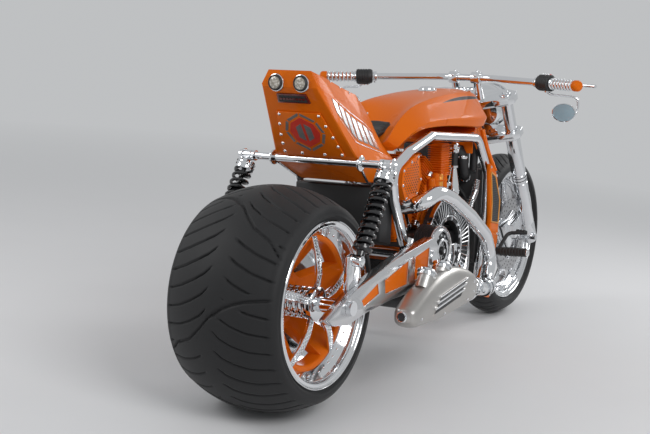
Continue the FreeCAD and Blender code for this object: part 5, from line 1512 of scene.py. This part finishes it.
core = {"fins": 30, "firstFin": 318, "finPitch": 10.4, "fan": (1125, 0, 470), "blades": 7, "arms": 4,
        "fanRing": ((132, 0.5), (138, 0.5), (138, 9), (134, 11), (130, 9), (130, 0.5)),
        "fanHub": ((0.01, 0.5), (40, 0.5), (40, 8), (34, 11), (0.01, 12))}


def makeRadiator():
    part = softenedPart("radiator", 3)
    for number in range(core["fins"]):
        z = core["firstFin"] + number * core["finPitch"]
        addBlock(part, (1170.6, 0, z), (3, 276, 3.2), None, 1)
    for y in (-1, 1):
        addBlock(part, (1170.6, y * 146, 470), (6, 12, 320), None, 0, 2)
    for z in (306, 634):
        addBlock(part, (1147.5, 0, z), (52, 300, 14), None, 0, 4)
    # a fan in its ring on the engine's side
    fan = at(core["fan"]) @ turned(90, "Z")
    addTurned(part, core["fanRing"], 72, 0, fan)
    addTurned(part, core["fanHub"], 48, 0, fan)
    for spin in around(core["blades"]):
        spin = fan @ spin
        pitched = turnOf(spin @ Matrix.Rotation(0.5, 4, "X"))
        addBlock(part, spin @ Vector((85, 5, 0)), (92, 2.2, 34), pitched, 0, 0.6, 1)
    for spin in around(core["arms"], "Y", 0.5):
        spin = fan @ spin
        addBlock(part, spin @ Vector((86, 9.5, 0)), (94, 3, 7), turnOf(spin), 0, 0.8, 1)
    finishPiece("radiatorCore", part, ["black_plastic", "vent_metal"], "frame", ["radiator"], None, 30)


forkLeg = {
    "x": 18, "y": 132, "topBolt": (656, 664),
    "profile": ((0.01, -34), (20, -34), (26, -31), (29, -25), (29, 52), (27.4, 55), (27.4, 62), (28.6, 65),
                (28.6, 250), (27.2, 252), (27.2, 258), (29, 260), (29, 290), (27.6, 292), (27.6, 296),
                (28.4, 299), (28.4, 452), (27.6, 455), (27.6, 459), (23.1, 461), (23.1, 466), (23.1, 655),
                (19, 655), (18, 657), (0.01, 657)),
    "rings": (268, 282), "bolts": (-14, 16),
}


def makeForkLegs():
    x = forkLeg["x"]
    for side, name in ((-1, "fork_leg_right"), (1, "fork_leg_left")):
        part = bmesh.new()
        y = side * forkLeg["y"]
        place = forkLine @ at((x, y, 0)) @ turned(90, "X")
        addTurned(part, forkLeg["profile"], 64, 0, place)
        for z in forkLeg["rings"]:
            addTurned(part, [(28.8, z - 2), (30, z - 1), (30, z + 1), (28.8, z + 2)], 64, 1, place)
        low, high = (forkLine @ Vector((x, y, z)) for z in forkLeg["topBolt"])
        addRod(part, low, high, 13, sides=6, rounding=1.2)
        for z in forkLeg["bolts"]:
            addBolt(part, forkLine @ Vector((x + 28, y, z)), forkLine.to_3x3() @ Vector((1, 0, 0)), 5)
        finishPiece("forkLegTurned" + ("Right" if side < 0 else "Left"), part, ["chrome", "black_plastic"],
                    "fork", [name], None, 30)


barEnd = {"tip": (1145, 507, 953.3), "along": (-0.4380, 0.8987, -0.0219)}


def barTip(side):
    tip, along = (Vector((x, side * y, z)) for x, y, z in (barEnd["tip"], barEnd["along"]))
    return tip, along.normalized()


def barPlace(side):
    # z out along the bar from its tip, x level and forward
    tip, along = barTip(side)
    ahead = Vector((abs(along.y), along.x * (-1 if along.y > 0 else 1), 0)).normalized()
    up = along.cross(ahead)
    turn = Matrix((ahead, up, along)).transposed().to_4x4()
    return at(tip) @ turn


gripShape = {"low": -118, "ridges": 7, "pitch": 14.6, "root": 15.6, "crest": 19.6, "studs": 12,
             "firstStud": -111.7,
             "wave": ((0.0, 0), (0.12, 0.55), (0.28, 0.93), (0.42, 1), (0.56, 0.93), (0.72, 0.55),
                      (0.84, 0)),
             "inner": ((12.9, -127.6), (19.6, -127.6), (20.6, -125.6), (20.6, -121), (18, -119)),
             "end": ((12.9, -15.4), (18.6, -15.4), (19.6, -12), (19.6, 1), (18.6, 5), (15, 10), (8, 12.3),
                     (0.01, 12.5), (0.01, 0.4), (12.9, 0.4))}


def makeGrips():
    part = bmesh.new()
    for side in (-1, 1):
        place = barPlace(side)
        lay = place @ turned(90, "X")
        profile = list(gripShape["inner"])
        for number in range(gripShape["ridges"]):
            foot = gripShape["low"] + number * gripShape["pitch"]
            for share, lift in gripShape["wave"]:
                profile.append((gripShape["root"] + (gripShape["crest"] - gripShape["root"]) * lift,
                                foot + share * gripShape["pitch"]))
        profile += [(gripShape["root"], -15), (12.9, -15)]
        addTurned(part, profile, 56, 0, lay)
        addTurned(part, gripShape["end"], 56, 1, lay)
        stud = bmesh.new()
        addDome(stud, at((19.2, 0, 0)) @ turned(90, "Y"), 2.1, 1.3, 0, 2, 8)
        spots = [gripShape["firstStud"] + number * gripShape["pitch"]
                 for number in range(gripShape["ridges"])]
        addCopies(part, stud, [place @ at((0, 0, z)) @ spin
                               for spin in around(gripShape["studs"], "Z") for z in spots])
        for number in range(gripShape["ridges"] - 1):
            z = gripShape["low"] + (number + 0.93) * gripShape["pitch"]
            addTurned(part, [(15.2, z - 0.9), (16.6, z - 0.5), (16.6, z + 0.5), (15.2, z + 0.9)], 56, 1, lay)
    finishPiece("gripsDrilled", part, ["chrome", "orange_paint"], "fork", ["grips"], None, 30)


switchBlock = {"ribs": 5, "firstRib": -178, "ribPitch": 9.6, "buttons": (-144, -158, -170),
               "bolts": (-140, -176),
               "inner": ((13.1, -190), (22, -190), (26, -186), (28, -180)),
               "outer": ((28, -130), (24, -128.4), (13.1, -128.4)),
               "collar": ((13.1, -206), (18, -206), (19, -204), (19, -194), (18, -192), (13.1, -192))}


def makeSwitches():
    part = bmesh.new()
    for side in (-1, 1):
        place = barPlace(side)
        lay = place @ turned(90, "X")
        turn = turnOf(place)
        profile = list(switchBlock["inner"])
        for number in range(switchBlock["ribs"]):
            z = switchBlock["firstRib"] + number * switchBlock["ribPitch"]
            profile += [(28, z), (28, z + 6), (26.4, z + 6.8), (26.4, z + 8.8)]
        addTurned(part, profile + list(switchBlock["outer"]), 48, 0, lay)
        addBlock(part, place @ Vector((0, 16, -156)), (34, 28, 50), turn, 0, 6, 3)
        addBlock(part, place @ Vector((22, -4, -158)), (26, 32, 44), turn, 0, 6, 3)
        for z in switchBlock["buttons"]:
            addRod(part, place @ Vector((-2, 28.6, z)), place @ Vector((-2, 33.1, z)), 4.6, sides=16,
                   paint=1, rounding=0.8)
        addBlock(part, place @ Vector((12, 31, -150)), (5, 3, 12), turn, 2, 1)
        for z in switchBlock["bolts"]:
            addBolt(part, place @ Vector((35, -4, z)), turn.to_3x3() @ Vector((1, 0, 0)), 3.4, 1, 3)
        # collar of the throttle or clutch clamp, and its bolt
        addTurned(part, switchBlock["collar"], 40, 1, lay)
        addBolt(part, place @ Vector((0, 19, -199)), turn.to_3x3() @ Vector((0, 1, 0)), 4, 1, 5)
    finishPiece("switchBlocks", part, ["black_plastic", "chrome", "badge_red"], "fork", ["switch_housings"],
                None, 30)


# the lever's line from its pivot: out along the bar, forward and up
lever = {"in": 154, "forward": 40, "radius": 5.4, "ball": 8.5,
         "line": ((0, 0, 0), (18, 9, 0), (40, 20, -2), (90, 23, -6), (140, 24, -9), (168, 25, -11))}


def makeLevers():
    part = bmesh.new()
    for side in (-1, 1):
        tip, way = barTip(side)
        ahead = Vector((way.y, -side * way.x, 0)).normalized() * (1 if way.y * side > 0 else -1)
        if ahead.x < 0:
            ahead = -ahead
        root = tip - way * lever["in"]
        pivot = root + ahead * lever["forward"]
        addRod(part, root + ahead * 25, pivot + ahead * 3, 10.5, sides=28, rounding=1.5)
        addRod(part, pivot + Vector((0, 0, -12)), pivot + Vector((0, 0, 13)), 6.5, sides=20, rounding=1)
        line = [pivot + way * out + ahead * forward + Vector((0, 0, up)) for out, forward,
                up in lever["line"]]
        addPipe(part, line, lever["radius"], sides=4, steps=8)
        addDome(part, at(line[-1]), lever["ball"], lever["ball"], 0, 6, 24)
    finishPiece("leversBalled", part, ["chrome"], "fork", ["levers"], None, 35)


# the stem's points off its clamp, then off the glass
mirror = {
    "clamp": (150, -24), "glass": (20, 60, -78), "radius": 4.4, "oval": (1.12, 1, 0.84, 1),
    "stem": ((0, 0, -1), (4, 6, -16), (24, 60, -18), (34, 104, -22)),
    "hook": ((18, 46, 20), (17, 38, 2), (13, 12, 0)),
    "back": ((0.01, 15), (18, 14), (32, 10.5), (39, 5), (40, 0), (39, -2), (37, -2.4), (36.5, -0.6),
             (0.01, -0.6)),
    "face": ((0.01, -1.2), (36.4, -1.2), (36.4, -0.4), (0.01, -0.4)),
}


def makeMirrors():
    part = bmesh.new()
    for side in (-1, 1):
        tip, way = barTip(side)
        start = tip - way * mirror["clamp"][0] + Vector((0, 0, mirror["clamp"][1]))
        x, y, z = mirror["glass"]
        glass = start + Vector((x, side * y, z))
        line = [root + Vector((x, side * y, z)) for root, name in ((start, "stem"), (glass, "hook"))
                for x, y, z in mirror[name]]
        addPipe(part, line, mirror["radius"], sides=4, steps=8)
        addRod(part, start + Vector((0, 0, 2)), start + Vector((0, 0, -8)), 8, sides=20, rounding=1)
        addDome(part, at(line[-2]), 7, 7, 0, 5, 18)
        turn = at(glass) @ turned(-90, "Z") @ Matrix.Diagonal(mirror["oval"])
        addTurned(part, mirror["back"], 56, 0, turn)
        # the glass face in the bluish finish, its colour a painted sky reflection
        addTurned(part, mirror["face"], 56, 1, turn)
    finishPiece("mirrorsOval", part, ["chrome", "mirror_glass"], "fork", ["mirrors"], None, 35)


headlight = {"centre": (82, 0, 560),
             "turned": ((((74, 84), (83, 84), (84.5, 87), (84.5, 97), (81, 101), (77, 101), (74, 97)), 0),
                        (((0.01, 92), (75.5, 92), (75, 96), (60, 101), (30, 104.4), (0.01, 105.5)), 1),
                        (((82.1, 20), (83.4, 22), (83.4, 26), (82.1, 28)), 0))}


def makeHeadlight():
    part = softenedPart("headlight", 3, 40)
    place = at(forkLine @ Vector(headlight["centre"])) @ turned(-90, "Z")
    for profile, paint in headlight["turned"]:
        addTurned(part, profile, 72, paint, place)
    finishPiece("headlightBucket", part, ["chrome", "lamp_lens"], "fork", ["headlight"], None, 30)


peg = {"root": (1252, 204, 331), "end": (1252, 308, 336), "ribs": 9, "radius": 16.5,
       "pedal": (1330, 240, 397.8),
       "pedalRibs": 3, "pedalPitch": 13}


def makePegs():
    part = softenedPart("foot_controls", 1.5, 30)
    for face in part.faces:
        face.material_index = 1
    for side in (-1, 1):
        low, high = (Vector((x, side * y, z)) for x, y, z in (peg["root"], peg["end"]))
        for number in range(peg["ribs"]):
            a = low.lerp(high, (number + 0.1) / peg["ribs"])
            b = low.lerp(high, (number + 0.84) / peg["ribs"])
            addRod(part, a, b, peg["radius"], sides=28, paint=0, rounding=1.6)
        x, y, z = peg["pedal"]
        for number in range(peg["pedalRibs"]):
            middle = Vector((x, side * (y + number * peg["pedalPitch"]), z))
            half = Vector((0, 4.5, 0))
            addRod(part, middle - half, middle + half, 9.4, sides=24, paint=0, rounding=1.2)
        addRod(part, high, high + Vector((0, side * 7, 0.4)), 14.5, sides=28, paint=2, rounding=2)
    finishPiece("pegsRubbered", part, ["belt_rubber", "black_engine", "chrome"], "frame", ["foot_controls"])


gauge = {"x": -44, "y": 22, "z": 700, "tilt": 24,
         "turned": ((((0.01, -30), (10, -30), (18, -24), (20.5, -10), (20.5, 6), (19, 9), (16.6, 9),
                      (16.6, 6), (0.01, 6)), 0),
                    (((0.01, 6.4), (16.4, 6.4), (14, 7.6), (0.01, 8)), 1),
                    # a thin ring in the bluish glass finish, a painted sky reflection
                    (((12.8, 7.4), (14.6, 7.2), (14.6, 8), (12.8, 8.3)), 2)),
         "lead": ((-46, 20, 676), (-52, 24, 650), (-44, 30, 610), (-30, 34, 570), (-20, 34, 520))}


def makeGauges():
    # two small instruments in chrome cups between the risers
    part = bmesh.new()
    for side in (-1, 1):
        place = (forkLine @ at((gauge["x"], side * gauge["y"], gauge["z"])) @ turned(gauge["tilt"], "Y")
                 @ turned(90, "X"))
        for profile, paint in gauge["turned"]:
            addTurned(part, profile, 44, paint, place)
        addBlock(part, place @ Vector((3, 8.6, 3)), (9, 0.8, 1.6), turnOf(place), 3, 0.3, 1)
    addBlock(part, forkLine @ Vector((-44, 0, 672)), (14, 62, 10), turnOf(forkLine), 0, 3)
    addRod(part, forkLine @ Vector((-34, 0, 655)), forkLine @ Vector((-42, 0, 672)), 7, sides=20)
    for side in (-1, 1):
        addPipe(part, [forkLine @ Vector((x, side * y, z)) for x, y, z in gauge["lead"]], 3.6, 1, sides=4,
                steps=6)
    finishPiece("gaugePair", part, ["chrome", "black_plastic", "mirror_glass", "badge_red"], "fork")


def makeClampBolts():
    part = bmesh.new()
    for low in (466, 622):
        for side in (-1, 1):
            for z in (9, 21):
                spot = forkLine @ Vector((46, side * 158, low + z))
                addBolt(part, spot, forkLine.to_3x3() @ Vector((1, -side * 0.25, 0)), 5)
    top = forkLine @ Vector((-22, 0, 654))
    up = forkLine.to_3x3() @ Vector((0, 0, 1))
    addRod(part, top + up * 6, top + up * 18, 20, sides=6, rounding=2)
    for side in (-1, 1):
        for x in (-15, 15):
            spot = forkLine @ Vector((-22 + x, side * 45, 742 + 19))
            addBolt(part, spot, up, 4.4)
    finishPiece("clampBolts", part, ["chrome"], "fork")


makeTank()
makeSeat()
makeMuffler()
makeShroud()
makeRadiator()
makeForkLegs()
makeGrips()
makeSwitches()
makeLevers()
makeMirrors()
makeHeadlight()
makePegs()
makeGauges()
makeClampBolts()
print("body, fork and bars dressed")
